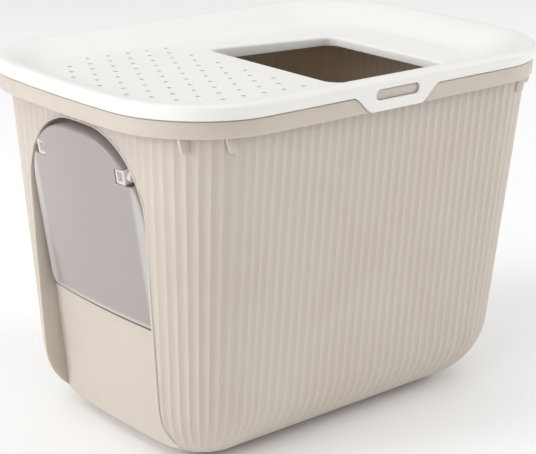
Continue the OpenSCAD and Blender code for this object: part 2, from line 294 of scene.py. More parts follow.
def smooth(piece: bpy.types.Object, sharp_degrees: float) -> None:
    """Shades a piece smoothly, apart from edges sharper than an angle.

    Args:
        piece: The piece.
        sharp_degrees: The angle past which an edge stays sharp.
    """
    piece.data.polygons.foreach_set("use_smooth", [True] * len(piece.data.polygons))
    piece.data.set_sharp_from_angle(angle=math.radians(sharp_degrees))
    piece.data.update()


def soften(piece: bpy.types.Object, width: float, segments: int = 3, angle: float = 40.0) -> None:
    """Rounds a piece's sharp edges.

    Args:
        piece: The piece.
        width: Width of the rounding, in millimetres.
        segments: How many faces cross the rounding.
        angle: Edges sharper than this are rounded, in degrees.
    """
    bevel = piece.modifiers.new("soften", "BEVEL")
    bevel.width = width * MM
    bevel.segments = segments
    bevel.limit_method = "ANGLE"
    bevel.angle_limit = math.radians(angle)
    bevel.harden_normals = False
    keep_result(piece)


class GeometryTree:
    """A geometry node tree with named inputs, built one node at a time."""

    def __init__(self, name: str) -> None:
        """Starts the tree with a geometry coming in and one going out.

        Args:
            name: The tree's name.
        """
        self.tree = bpy.data.node_groups.new(name, "GeometryNodeTree")
        self.tree.interface.new_socket("Geometry", in_out="INPUT", socket_type="NodeSocketGeometry")
        self.tree.interface.new_socket("Geometry", in_out="OUTPUT", socket_type="NodeSocketGeometry")
        self.inputs = self.tree.nodes.new("NodeGroupInput")
        self.outputs = self.tree.nodes.new("NodeGroupOutput")

    def size(self, name: str, kind: str = "NodeSocketFloat") -> bpy.types.NodeSocket:
        """Adds a named input.

        Args:
            name: The input's name.
            kind: The socket's type.

        Returns:
            The socket to link from.
        """
        self.tree.interface.new_socket(name, in_out="INPUT", socket_type=kind)
        return self.inputs.outputs[name]

    def add(self, kind: str, links: dict[str | int, object], **settings: object) -> bpy.types.Node:
        """Adds a node.

        Args:
            kind: The node's type.
            links: Input name or number to the socket or the value it gets.
            **settings: The node's own properties.

        Returns:
            The node.
        """
        node = self.tree.nodes.new(kind)
        for name, value in settings.items():
            setattr(node, name, value)
        for name, value in links.items():
            if isinstance(value, bpy.types.NodeSocket):
                self.tree.links.new(value, node.inputs[name])
            else:
                node.inputs[name].default_value = value
        return node

    def math(self, operation: str, *values: object) -> bpy.types.NodeSocket:
        """Adds a math node.

        Args:
            operation: The node's operation.
            *values: Sockets or numbers for its inputs.

        Returns:
            The result's socket.
        """
        return self.add("ShaderNodeMath", dict(enumerate(values)), operation=operation).outputs[0]

    def field(self, name: str, kind: str) -> bpy.types.NodeSocket:
        """Reads a named attribute.

        Args:
            name: The attribute's name.
            kind: FLOAT or FLOAT_VECTOR.

        Returns:
            The attribute's socket.
        """
        node = self.add("GeometryNodeInputNamedAttribute", {"Name": name}, data_type=kind)
        return node.outputs["Attribute"]

    def close(self, geometry: bpy.types.NodeSocket) -> None:
        """Ends the tree with its instances made real and its material set.

        Args:
            geometry: The socket that holds the finished geometry.
        """
        finish = self.size("Material", "NodeSocketMaterial")
        real = self.add("GeometryNodeRealizeInstances", {"Geometry": geometry})
        dressed = self.add(
            "GeometryNodeSetMaterial", {"Geometry": real.outputs[0], "Material": finish})
        self.tree.links.new(dressed.outputs[0], self.outputs.inputs[0])

    def apply(self, piece: bpy.types.Object, values: dict[str, object]) -> bpy.types.Object:
        """Runs the tree on a piece and keeps the result as a plain mesh.

        Args:
            piece: The piece.
            values: Input name to value.

        Returns:
            The same piece.
        """
        step = piece.modifiers.new(self.tree.name, "NODES")
        step.node_group = self.tree
        for item in self.tree.interface.items_tree:
            if item.item_type == "SOCKET" and item.in_out == "INPUT" and item.name in values:
                step[item.identifier] = values[item.name]
        return keep_result(piece)


class ShaderTree:
    """A material's node tree around one Principled shader."""

    def __init__(self, name: str) -> None:
        """Starts the material with object coordinates to hand.

        Args:
            name: The material's name.
        """
        self.material = bpy.data.materials.new(name)
        self.material.use_nodes = True
        self.nodes = self.material.node_tree.nodes
        self.links = self.material.node_tree.links
        self.shader = self.nodes["Principled BSDF"]
        self.place = self.nodes.new("ShaderNodeTexCoord").outputs["Object"]

    def noise(
        self, size: float, detail: float = 2.0, stretch: tuple[float, float, float] = (1, 1, 1)
    ) -> bpy.types.NodeSocket:
        """Adds noise on object coordinates.

        Args:
            size: Size of the pattern, in millimetres.
            detail: Octaves of finer noise.
            stretch: Scale of the coordinates along each axis.

        Returns:
            The noise's socket, about 0.5 in the mean.
        """
        turn = self.nodes.new("ShaderNodeMapping")
        turn.inputs["Scale"].default_value = stretch
        self.links.new(self.place, turn.inputs["Vector"])
        node = self.nodes.new("ShaderNodeTexNoise")
        node.inputs["Scale"].default_value = 1 / (size * MM)
        node.inputs["Detail"].default_value = detail
        self.links.new(turn.outputs["Vector"], node.inputs["Vector"])
        return node.outputs["Fac"]

    def spread(self, source: bpy.types.NodeSocket, low: float, high: float) -> bpy.types.NodeSocket:
        """Maps the middle of a noise to a range of numbers.

        Args:
            source: The noise's socket.
            low: The number where the noise is low.
            high: The number where the noise is high.

        Returns:
            The mapped socket.
        """
        node = self.nodes.new("ShaderNodeMapRange")
        node.inputs["From Min"].default_value = 0.3
        node.inputs["From Max"].default_value = 0.7
        node.inputs["To Min"].default_value = low
        node.inputs["To Max"].default_value = high
        self.links.new(source, node.inputs["Value"])
        return node.outputs["Result"]

    def blend(self, factor: bpy.types.NodeSocket, first: object, second: object) -> bpy.types.NodeSocket:
        """Blends two colours by a socket.

        Args:
            factor: The socket, 0 for the first colour.
            first: The first colour, or a socket that holds it.
            second: The second colour, or a socket that holds it.

        Returns:
            The blended colour's socket.
        """
        node = self.nodes.new("ShaderNodeMix")
        node.data_type = "RGBA"
        for name, color in (("A", first), ("B", second)):
            if isinstance(color, bpy.types.NodeSocket):
                self.links.new(color, node.inputs[name])
            else:
                node.inputs[name].default_value = color
        self.links.new(factor, node.inputs["Factor"])
        return node.outputs["Result"]

    def math(self, operation: str, *sources: bpy.types.NodeSocket) -> bpy.types.NodeSocket:
        """Adds a math node.

        Args:
            operation: The node's operation.
            *sources: Sockets for its inputs.

        Returns:
            The result's socket.
        """
        node = self.nodes.new("ShaderNodeMath")
        node.operation = operation
        for socket, source in zip(node.inputs, sources):
            self.links.new(source, socket)
        return node.outputs[0]

    def ramp(self, source: bpy.types.NodeSocket, start: float, end: float) -> bpy.types.NodeSocket:
        """Eases from 0 to 1 between two distances.

        Args:
            source: The socket that holds the distance.
            start: The distance at 0, in millimetres.
            end: The distance at 1, in millimetres.

        Returns:
            The eased socket.
        """
        node = self.nodes.new("ShaderNodeMapRange")
        node.interpolation_type = "SMOOTHSTEP"
        node.inputs["From Min"].default_value = start * MM
        node.inputs["From Max"].default_value = end * MM
        self.links.new(source, node.inputs["Value"])
        return node.outputs["Result"]

    def bump(self, height: bpy.types.NodeSocket, distance: float, strength: float) -> None:
        """Adds a bump to the shader's normal.

        Args:
            height: The socket that holds the height.
            distance: The bump's full height, in millimetres.
            strength: Its strength, 0 to 1.
        """
        node = self.nodes.new("ShaderNodeBump")
        node.inputs["Distance"].default_value = distance * MM
        node.inputs["Strength"].default_value = strength
        self.links.new(height, node.inputs["Height"])
        self.links.new(node.outputs["Normal"], self.shader.inputs["Normal"])


@dataclass(frozen=True)
class MouldedFinish:
    """Moulded polypropylene: an even colour with slight drifts, satin gloss and a fine spark grain."""

    name: str
    slot: Slot
    color: tuple[float, float, float, float]
    drift: tuple[float, float, float, float]
    roughness: tuple[float, float]
    grain_size: float = 0.7
    grain_height: float = 0.05
    grain_strength: float = 0.35
    drift_size: float = 90.0
    sheen_size: float = 14.0
    refraction: float = 1.46
    shine: float = 0.45
    glow: float = 0.0
    glow_depth: tuple[float, float, float] = (5.0, 4.6, 4.0)

    def material(self) -> bpy.types.Material:
        """Makes the material.

        Returns:
            The new material.
        """
        tree = ShaderTree(self.name)
        drift = tree.spread(tree.noise(self.drift_size, 3.0), 0.0, 1.0)
        tree.links.new(tree.blend(drift, self.color, self.drift), tree.shader.inputs["Base Color"])
        sheen = tree.spread(tree.noise(self.sheen_size, 4.0), *self.roughness)
        tree.links.new(sheen, tree.shader.inputs["Roughness"])
        tree.bump(tree.noise(self.grain_size, 3.0), self.grain_height, self.grain_strength)
        tree.shader.inputs["IOR"].default_value = self.refraction
        tree.shader.inputs["Specular IOR Level"].default_value = self.shine
        tree.shader.inputs["Subsurface Weight"].default_value = self.glow
        tree.shader.inputs["Subsurface Radius"].default_value = [depth * MM for depth in self.glow_depth]
        tree.shader.inputs["Subsurface Scale"].default_value = 1.0
        return tree.material


@dataclass(frozen=True)
class SmokedFinish:
    """Smoked clear plastic: a glossy face over a cloudy, tinted body, with a painted highlight along its
    sides and foot.
    """

    name: str
    slot: Slot
    color: tuple[float, float, float, float]
    drift: tuple[float, float, float, float]
    clearness: float
    roughness: tuple[float, float] = (0.16, 0.22)
    # Colour of the painted highlight along the flap's sides and foot, standing in for the light caught by the
    # rim and lip
    edge: tuple[float, float, float, float] = linear(216, 213, 209)
    edge_start: float = 82.0
    edge_end: float = 90.0
    foot_start: float = 160.0
    foot_end: float = 157.0
    cloud_size: float = 120.0
    sheen_size: float = 30.0
    ripple_size: float = 9.0
    ripple_height: float = 0.05
    ripple_strength: float = 0.2
    refraction: float = 1.49
    gloss: float = 0.3
    gloss_roughness: float = 0.05

    def painted_rim_light(self, tree: ShaderTree) -> bpy.types.NodeSocket:
        """Finds how far a spot lies within the sides and foot, where a painted highlight stands for the light
        caught by the rim and lip.

        Args:
            tree: The material's tree.

        Returns:
            The socket, 0 in the middle of the flap and 1 at its sides and foot.
        """
        apart = tree.nodes.new("ShaderNodeSeparateXYZ")
        tree.links.new(tree.place, apart.inputs[0])
        aside = tree.ramp(tree.math("ABSOLUTE", apart.outputs["Y"]), self.edge_start, self.edge_end)
        low = tree.ramp(apart.outputs["Z"], self.foot_start, self.foot_end)
        return tree.math("MAXIMUM", aside, low)

    def material(self) -> bpy.types.Material:
        """Makes the material.

        Returns:
            The new material.
        """
        tree = ShaderTree(self.name)
        cloud = tree.spread(tree.noise(self.cloud_size, 2.0, (1, 1, 0.6)), 0.0, 1.0)
        body = tree.blend(cloud, self.color, self.drift)
        # Painted highlight: the paler colour on the sides and foot stands in for the light caught by the rim
        # and lip
        mixed = tree.blend(self.painted_rim_light(tree), body, self.edge)
        tree.links.new(mixed, tree.shader.inputs["Base Color"])
        sheen = tree.spread(tree.noise(self.sheen_size), *self.roughness)
        tree.links.new(sheen, tree.shader.inputs["Roughness"])
        tree.bump(tree.noise(self.ripple_size, 2.0), self.ripple_height, self.ripple_strength)
        tree.shader.inputs["IOR"].default_value = self.refraction
        tree.shader.inputs["Transmission Weight"].default_value = self.clearness
        tree.shader.inputs["Coat Weight"].default_value = self.gloss
        tree.shader.inputs["Coat Roughness"].default_value = self.gloss_roughness
        return tree.material


TUB_FINISH = MouldedFinish(
    "tub_moulding", Slot.TUB, linear(201, 191, 181), linear(204, 195, 185), (0.40, 0.50), glow=0.6)
LID_FINISH = MouldedFinish(
    "lid_moulding", Slot.LID, linear(237, 236, 231), linear(239, 238, 234), (0.36, 0.46), glow=0.05)
FLAP_FINISH = SmokedFinish(
    "smoked_flap", Slot.SMOKE, linear(188, 177, 175), linear(189, 181, 179), 0.35)
CLIP_FINISH = MouldedFinish(
    "frosted_clip", Slot.CLIP, linear(214, 211, 210), linear(220, 218, 216), (0.30, 0.42), glow=0.2)


@dataclass(frozen=True)
class Columns:
    """Where a quarter outline's points lie: shares of the end, angles of the corner, shares of the side."""

    end: np.ndarray
    corner: np.ndarray
    side: np.ndarray

    @classmethod
    def even(cls, end: int, corner: int, side: int) -> "Columns":
        """Spaces the points evenly along each stretch."""
        angles = np.arange(corner + 1) / corner * 90
        return cls(np.arange(end) / end, angles, 1 - np.arange(1, side + 1) / side)


def whole(quarter: np.ndarray) -> np.ndarray:
    """Completes a ring from the quarter that runs from the +X axis to the +Y axis.

    Args:
        quarter: The quarter's points, both ends included.

    Returns:
        The closed ring, anticlockwise.
    """
    back = quarter[::-1]
    parts = (quarter, back * (-1, 1), -quarter, back * (1, -1))
    return np.vstack([part[:-1] for part in parts])


def bowed(points: np.ndarray, half: np.ndarray, ends: float, sides: float) -> np.ndarray:
    """Bows the ends and sides of a rounded rectangle out in their middles.

    Args:
        points: The rectangle's points.
        half: Its half length and half width.
        ends: How far the ends bow.
        sides: How far the sides bow.

    Returns:
        The bowed points.
    """
    x, y = points[:, 0], points[:, 1]
    bow_x = ends * (y / half[1]) ** 2 * x / half[0]
    bow_y = sides * (x / half[0]) ** 2 * y / half[1]
    return np.column_stack([x - bow_x, y - bow_y])


def rounded_ring(
    columns: Columns, half: np.ndarray, corner: float, ends: float, sides: float
) -> np.ndarray:
    """Makes a rounded rectangle with bowed ends and sides.

    Args:
        columns: Where its points lie.
        half: Half length and half width.
        corner: Corner radius.
        ends: How far the ends bow out.
        sides: How far the sides bow out.

    Returns:
        The ring in plan.
    """
    angle = np.radians(columns.corner)
    end = np.column_stack([np.full(len(columns.end), half[0]), columns.end * (half[1] - corner)])
    turn = np.column_stack([np.cos(angle), np.sin(angle)])
    bend = half - corner + corner * turn
    side = np.column_stack([columns.side * (half[0] - corner), np.full(len(columns.side), half[1])])
    return bowed(whole(np.vstack([end, bend, side])), half, ends, sides)


def at_height(ring: np.ndarray, height: float | np.ndarray) -> np.ndarray:
    """Lifts a plan ring to a height.

    Args:
        ring: The ring in plan.
        height: One height, or one for each point.

    Returns:
        The ring's points.
    """
    return np.column_stack([ring, np.broadcast_to(height, len(ring))])


@dataclass
class Part:
    """A sub-assembly: the body it rides on, the nodes it stands for and the pieces it has made."""

    body: Body = Body.BOX
    nodes: tuple[str, ...] = ()
    pieces: list[bpy.types.Object] = field(default_factory=list)

    def seat(
        self, piece: bpy.types.Object, finish: MouldedFinish | SmokedFinish, sharp: float = 32.0
    ) -> None:
        """Dresses a finished piece and hangs it on its body.

        Args:
            piece: The piece.
            finish: Its finish.
            sharp: Edges past this angle stay sharp, in degrees.
        """
        smooth(piece, sharp)
        known = bpy.data.materials.get(finish.name)
        piece.data.materials.clear()
        piece.data.materials.append(known or finish.material())
        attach(piece, self.body.value)
        if self.nodes:
            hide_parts(*self.nodes)
        self.pieces.append(piece)
        LOG.info("%s: %d faces on %s", piece.name, len(piece.data.polygons), self.body.value)


@dataclass
class TubForm:
    """The tub's outline at every height."""

    length: float = 518.0
    width: float = 369.0
    flange_z: float = 374.3
    wall: float = 2.6
    end_draft: float = 0.0447
    side_draft: float = 0.077
    corner_top: float = 71.3
    corner_base: float = 79.1
    base_round: float = 77.6
    end_bow: float = 6.1
    side_bow: float = 0.6
    end_flutes: int = 6
    corner_flutes: int = 15
    side_flutes: int = 13
    end_pitch: float = 12.0
    side_pitch: float = 12.03

    def drawn_in(self, z: float, inset: float) -> float:
        """Tells how far the base's rounding draws the outline in at a height.

        Args:
            z: Height.
            inset: Depth of the skin inside the outer one.

        Returns:
            The distance, 0 above the rounding.
        """
        radius = self.base_round - inset
        drop = radius - (z - inset)
        return 0.0 if drop <= 0 else radius - math.sqrt(max(0.0, radius**2 - drop**2))

    def half(self, z: float, inset: float = 0.0) -> np.ndarray:
        """Gives the half length and half width of the skin at a height.

        Args:
            z: Height.
            inset: Depth of the skin inside the outer one.

        Returns:
            The half length and half width.
        """
        back = self.drawn_in(z, inset) + inset
        long = self.length / 2 - self.end_draft * (self.flange_z - z) - back
        wide = self.width / 2 - self.side_draft * (self.flange_z - z) - back
        return np.array([long, wide])

    def corner(self, z: float, inset: float = 0.0) -> float:
        """Gives the corner radius of the skin at a height."""
        plain = self.corner_top + (self.corner_base - self.corner_top) * (1 - z / self.flange_z)
        return max(2.0, plain - self.drawn_in(z, inset) - inset)

    def spots(self, flutes: np.ndarray, z: float, inset: float) -> tuple[np.ndarray, np.ndarray]:
        """Places points along a quarter of the wall by their flute number.

        Args:
            flutes: Flute coordinates, 0 in the middle of an end.
            z: Height.
            inset: Depth of the skin inside the outer one.

        Returns:
            The points in plan, before the bow, and the outward directions.
        """
        half, corner = self.half(z, inset), self.corner(z, inset)
        total = self.end_flutes + self.corner_flutes + self.side_flutes
        end_y = self.end_flutes * self.end_pitch
        run_end = half[1] - corner - end_y
        run_arc = corner * math.pi / 2
        run_side = half[0] - corner - self.side_flutes * self.side_pitch
        along = (flutes - self.end_flutes) / self.corner_flutes * (run_end + run_arc + run_side)
        angle = np.clip((along - run_end) / corner, 0, math.pi / 2)
        x = half[0] - corner + corner * np.cos(angle)
        y = half[1] - corner + corner * np.sin(angle)
        y = np.where(along < run_end, end_y + along, y)
        x = np.where(along > run_end + run_arc, half[0] - corner - (along - run_end - run_arc), x)
        on_end, on_side = flutes <= self.end_flutes, flutes >= self.end_flutes + self.corner_flutes
        y = np.where(on_end, flutes * self.end_pitch, y)
        x = np.where(on_side, (total - flutes) * self.side_pitch, x)
        return np.column_stack([x, y]), np.column_stack([np.cos(angle), np.sin(angle)])

    def end_x(self, y: float, z: float) -> float:
        """Gives the distance of the end wall's outer face from the middle, its corner included.

        Args:
            y: Distance from the middle along Y.
            z: Height.

        Returns:
            The distance along X.
        """
        half, corner = self.half(z), self.corner(z)
        past = min(corner, max(0.0, abs(y) - (half[1] - corner)))
        x = half[0] - corner + math.sqrt(corner**2 - past**2)
        return x - self.end_bow * (y / half[1]) ** 2 * x / half[0]


@dataclass
class FlutedTub(Part):
    """The tub's wall and base: one thin skin, hollow-fluted inside and out, open at the door."""

    nodes: tuple[str, ...] = ("tub",)
    form: TubForm = field(default_factory=TubForm)
    top: float = 390.0
    flute_depth: float = 1.3
    ridge: float = 0.07
    flute_foot: float = 8.0
    flute_run: float = 40.0
    stations: tuple[float, ...] = (0.0, 0.035, 0.09, 0.18, 0.32, 0.5, 0.68, 0.82, 0.91, 0.965)
    outer_steps: tuple[int, int] = (14, 10)
    inner_steps: tuple[int, int] = (8, 6)

    def skin(self, inset: float, steps: int, rows: int) -> list[tuple[float, float]]:
        """Lists the rings of one skin from its flat base up, as height and inset.

        Args:
            inset: Depth of the skin inside the outer one.
            steps: Rows over the rounding of the base.
            rows: Rows above the rounding.

        Returns:
            A height and an inset for each ring.
        """
        radius = self.form.base_round - inset
        low = [inset + radius * (1 - math.cos(math.pi / 2 * i / steps)) for i in range(steps + 1)]
        high = np.linspace(self.form.base_round, self.top, rows + 1)[1:]
        return [(z, inset) for z in (*low, *high)]

    def rings(
        self, levels: list[tuple[float, float]]
    ) -> tuple[list[np.ndarray], np.ndarray, np.ndarray]:
        """Makes the smooth rings, with each point's flute number and outward direction.

        Args:
            levels: A height and an inset for each ring.

        Returns:
            The rings, the flute numbers and the outward directions.
        """
        form = self.form
        total = form.end_flutes + form.corner_flutes + form.side_flutes
        flutes = np.append((np.arange(total)[:, None] + np.array(self.stations)).ravel(), total)
        numbers = whole(np.column_stack([flutes, flutes]))[:, 0]
        rings, outward = [], []
        for z, inset in levels:
            points, away = form.spots(flutes, z, inset)
            plan = bowed(whole(points), form.half(z, inset), form.end_bow, form.side_bow)
            rings.append(at_height(plan, z))
            outward.append(at_height(whole(away), 0.0))
        return rings, np.tile(np.abs(numbers), len(levels)), np.vstack(outward)

    def flute_tree(self) -> GeometryTree:
        """Builds the tree that hollows the flutes between their ridges.

        Returns:
            The tree, with its depth, ridge, foot and run as inputs.
        """
        tree = GeometryTree("Flutes")
        depth, ridge = tree.size("Depth"), tree.size("Ridge")
        foot, run = tree.size("Foot"), tree.size("Run")
        share = tree.math("FRACT", tree.field("flute", "FLOAT"))
        wave = tree.math("SINE", tree.math("MULTIPLY", share, math.pi))
        ridge_square = tree.math("POWER", ridge, 2.0)
        soft = tree.math("SQRT", tree.math("ADD", tree.math("POWER", wave, 2.0), ridge_square))
        full = tree.math("SQRT", tree.math("ADD", 1.0, ridge_square))
        hollow = tree.math(
            "DIVIDE", tree.math("SUBTRACT", soft, ridge), tree.math("SUBTRACT", full, ridge))
        height = tree.add("ShaderNodeSeparateXYZ", {0: tree.add("GeometryNodeInputPosition", {}).outputs[0]})
        rise = tree.add("ShaderNodeMapRange", {
            "Value": height.outputs["Z"], "From Min": foot, "From Max": tree.math("ADD", foot, run)},
            interpolation_type="SMOOTHSTEP")
        amount = tree.math("MULTIPLY", tree.math("MULTIPLY", hollow, rise.outputs["Result"]), depth)
        inward = tree.add("ShaderNodeVectorMath", {
            0: tree.field("outward", "FLOAT_VECTOR"), "Scale": tree.math("MULTIPLY", amount, -1.0)},
            operation="SCALE")
        moved = tree.add("GeometryNodeSetPosition", {
            "Geometry": tree.inputs.outputs["Geometry"], "Offset": inward.outputs[0]})
        tree.close(moved.outputs[0])
        return tree

    def wall_skin(self) -> bpy.types.Object:
        """Makes the fluted skin, inside and out, from smooth rings.

        Returns:
            The closed skin.
        """
        levels = self.skin(0.0, *self.outer_steps)
        levels += self.skin(self.form.wall, *self.inner_steps)[::-1]
        rings, numbers, outward = self.rings(levels)
        count = len(rings[0])
        faces = ring_faces(len(rings), count, False) + end_faces(len(rings), count)
        mesh = bpy.data.meshes.new("tub_wall")
        mesh.from_pydata((np.vstack(rings) * MM).tolist(), [], faces)
        number = mesh.attributes.new("flute", "FLOAT", "POINT")
        number.data.foreach_set("value", numbers.astype(np.float32))
        away = mesh.attributes.new("outward", "FLOAT_VECTOR", "POINT")
        away.data.foreach_set("vector", outward.astype(np.float32).ravel())
        piece = link_new("tub_wall", mesh)
        self.flute_tree().apply(piece, {
            "Depth": self.flute_depth * MM, "Ridge": self.ridge,
            "Foot": self.flute_foot * MM, "Run": self.flute_run * MM})
        for name in ("flute", "outward"):
            piece.data.attributes.remove(piece.data.attributes[name])
        return piece

    def build(self, recess: "DoorRecess") -> None:
        """Makes the wall and cuts the door's arch from it.

        Args:
            recess: The recess that fills the cut.
        """
        piece = combine(self.wall_skin(), recess.cutters(), "DIFFERENCE")
        self.seat(piece, TUB_FINISH, 38.0)


@dataclass
class DoorRecess(Part):
    """The arched recess in the end wall: rolled edge, side walls, sill and leaning floor."""

    nodes: tuple[str, ...] = ("tub",)
    form: TubForm = field(default_factory=TubForm)
    width: float = 207.0
    top: float = 360.0
    corner: float = 90.0
    sill: float = 149.5
    panel: float = 230.0
    lean: float = 0.105
    bow: float = 5.0
    roll: float = 1.2
    roll_seat: tuple[tuple[float, float], ...] = ((1.6, 1.2), (0.9, 0.15))
    sill_round: float = 1.1
    overlap: float = 2.0
    foot_overlap: float = 6.0
    skin_gap: float = 0.06
    cut_reach: float = 40.0
    arc_steps: int = 30
    side_rows: int = 26
    socket_start: float = 0.4
    socket_end: float = 7.6
    socket_radius: float = 4.4
    socket_edge: float = 0.5
    socket_floor: float = 1.6
    pin_bore: float = 2.55

    def panel_x(self, y: float, z: float) -> float:
        """Gives the distance of the recess floor from the middle of the box."""
        return self.panel - self.lean * (self.sill - z) - self.bow * (2 * y / self.width) ** 2

    def foot_z(self, y: float) -> float:
        """Finds the height where the floor meets the tub's rounded base.

        Args:
            y: Distance from the middle along Y.

        Returns:
            The height.
        """
        low, high = 5.0, self.form.base_round
        for _ in range(40):
            middle = (low + high) / 2
            if self.form.end_x(y, middle) > self.panel_x(y, middle):
                high = middle
            else:
                low = middle
        return high

    def arch(self, grow: float, low: float) -> np.ndarray:
        """Lists the arch's points in Y and Z, from the foot at -Y over the top to the foot at +Y.

        Args:
            grow: How far the arch is widened.
            low: Height of its feet.

        Returns:
            The points, each with its outward direction.
        """
        half, radius = self.width / 2 + grow, self.corner + grow
        spring = self.top + grow - radius
        sides = np.linspace(low, spring, self.side_rows + 1)[:-1]
        angles = np.linspace(0, math.pi / 2, self.arc_steps + 1)
        quarter = [(half, z, 1.0, 0.0) for z in sides]
        for a in angles:
            side, up = math.cos(a), math.sin(a)
            quarter.append((half - radius + radius * side, spring + radius * up, side, up))
        right = np.array(quarter)
        return np.vstack([right * (-1, 1, -1, 1), right[::-1]])

    def cutters(self) -> list[bpy.types.Object]:
        """Makes the solids that open the wall: the arch above the sill, and the recess below it.

        Returns:
            The two solids.
        """
        grow = self.form.wall / 2
        front, back = -self.form.length / 2 - self.cut_reach, -self.panel + 2 * self.form.wall
        outline = self.arch(grow, self.sill + grow)[:, :2]
        above = loft("door_cut", [
            np.column_stack([np.full(len(outline), x), outline]) for x in (front, back)])
        across = np.linspace(-self.width / 2 - grow, self.width / 2 + grow, 25)
        rings = []
        below_floor = -5.0
        for z in (below_floor, self.sill + 2 * grow):
            rear = [(-self.panel_x(y, z) + grow, y, z) for y in across]
            rings.append(np.array([(front, across[0], z), *rear, (front, across[-1], z)]))
        return [above, loft("recess_cut", rings)]

    def lining(self) -> bpy.types.Object:
        """Makes the side walls of the recess with their rolled front edge.

        Returns:
            The lining.
        """
        wall = self.form.wall
        foot = self.foot_z(self.width / 2) - 0.5
        line = self.arch(0.0, foot)
        sections = []
        for y, z, side, up in line:
            front = -self.form.end_x(y, z)
            rear = -self.panel_x(y, z) + wall
            roll = min(self.roll, max(0.1, (rear - wall - front) / 2))
            turn = [math.radians(a) for a in (0, 22, 45, 68, 90)]
            rows = [(roll + out, front + back) for out, back in self.roll_seat]
            rows += [(roll - roll * math.sin(a), front + roll - roll * math.cos(a)) for a in turn]
            rows += [(0.0, rear - 0.8), (0.3, rear - 0.2), (1.0, rear), (1.8, rear), (wall, rear - 0.8)]
            rows += [(wall, front + 1.6)]
            sections.append(np.array([(x, y + side * out, z + up * out) for out, x in rows]))
        return loft("door_recess", sections)

    def floor(self) -> bpy.types.Object:
        """Makes the leaning floor below the sill, with a rounded sill edge.

        Returns:
            The floor.
        """
        wall, half, depth = self.form.wall, self.width / 2 + self.overlap, self.sill_round
        across = np.linspace(-half, half, 41)
        sections = []
        for y in across:
            foot = self.foot_z(y)
            low = foot - self.foot_overlap
            heights = [*np.linspace(low, foot, 5), *np.linspace(foot, self.sill - depth, 9)[1:]]
            front = [(max(-self.panel_x(y, z), -self.form.end_x(y, z) + self.skin_gap), z) for z in heights]
            rim = -self.panel_x(y, self.sill)
            turn = np.radians((22, 45, 68, 90))
            front += [(rim + depth * (1 - math.cos(a)), self.sill - depth * (1 - math.sin(a))) for a in turn]
            back = [(rim + wall - 0.7, self.sill), (rim + wall, self.sill - 0.7)]
            back += [(max(-self.panel_x(y, z), -self.form.end_x(y, z)) + wall, z)
                     for z in (self.sill / 2, foot + 4.0, foot, low)]
            sections.append(np.array([(x, y, z) for x, z in front + back]))
        return loft("door_panel", sections)

    def sockets(self, flap: "SwingFlap") -> list[bpy.types.Object]:
        """Makes the bosses that hold the hinge pins behind the recess's side walls.

        Args:
            flap: The flap whose pins they take.

        Returns:
            The two bosses.
        """
        start, end = flap.socket_y() + self.socket_start, flap.socket_y() + self.socket_end
        bore, radius, edge = self.pin_bore, self.socket_radius, self.socket_edge
        profile = ((bore, start), (radius - edge, start), (radius, start + edge), (radius, end - edge),
                   (radius - edge, end), (bore, end - self.socket_floor))
        made = []
        for side in (-1, 1):
            rings = [upright(turned(r) + (-flap.pin_x, flap.pin_z), side * y) for r, y in profile]
            made.append(loft(f"pin_socket_{'left' if side > 0 else 'right'}", rings, wrap=True))
        return made

    def build(self, flap: "SwingFlap") -> None:
        """Makes the recess's pieces.

        Args:
            flap: The flap whose pins turn in the recess's walls.
        """
        for piece in (self.lining(), self.floor(), *self.sockets(flap)):
            self.seat(piece, TUB_FINISH)


@dataclass
class LatchForm:
    """Outline of a latch tab, and of the slot in it."""

    width: float = 124.0
    foot: float = 66.0
    drop: float = 18.5
    slot_length: float = 62.0
    slot_height: float = 11.3
    slot_drop: float = 1.2

    def lower_edge(self, x: np.ndarray, parting: float, gap: float = 0.0) -> np.ndarray:
        """Gives the height of the tab's lower edge along the long side.

        Args:
            x: Distances along the side.
            parting: Height of the skirt's lower edge.
            gap: How far the outline is grown.

        Returns:
            The heights.
        """
        share = np.clip((np.abs(x) - self.foot / 2 - gap) / ((self.width - self.foot) / 2), 0, 1)
        return parting - (self.drop + gap) * (1 + np.cos(math.pi * share)) / 2

    def stadium(self, shrink: float, middle: float, steps: int = 16) -> np.ndarray:
        """Lists the slot's outline in X and Z, drawn in by shrink.

        Args:
            shrink: How far the outline is drawn in.
            middle: Height of its middle.
            steps: Faces round each end.

        Returns:
            The points, anticlockwise.
        """
        radius = self.slot_height / 2 - shrink
        reach = self.slot_length / 2 - self.slot_height / 2
        points = []
        for side, start in ((1, -90), (-1, 90)):
            for i in range(steps + 1):
                a = math.radians(start + 180 * i / steps)
                points.append((side * reach + radius * math.cos(a), middle + radius * math.sin(a)))
        return np.array(points)


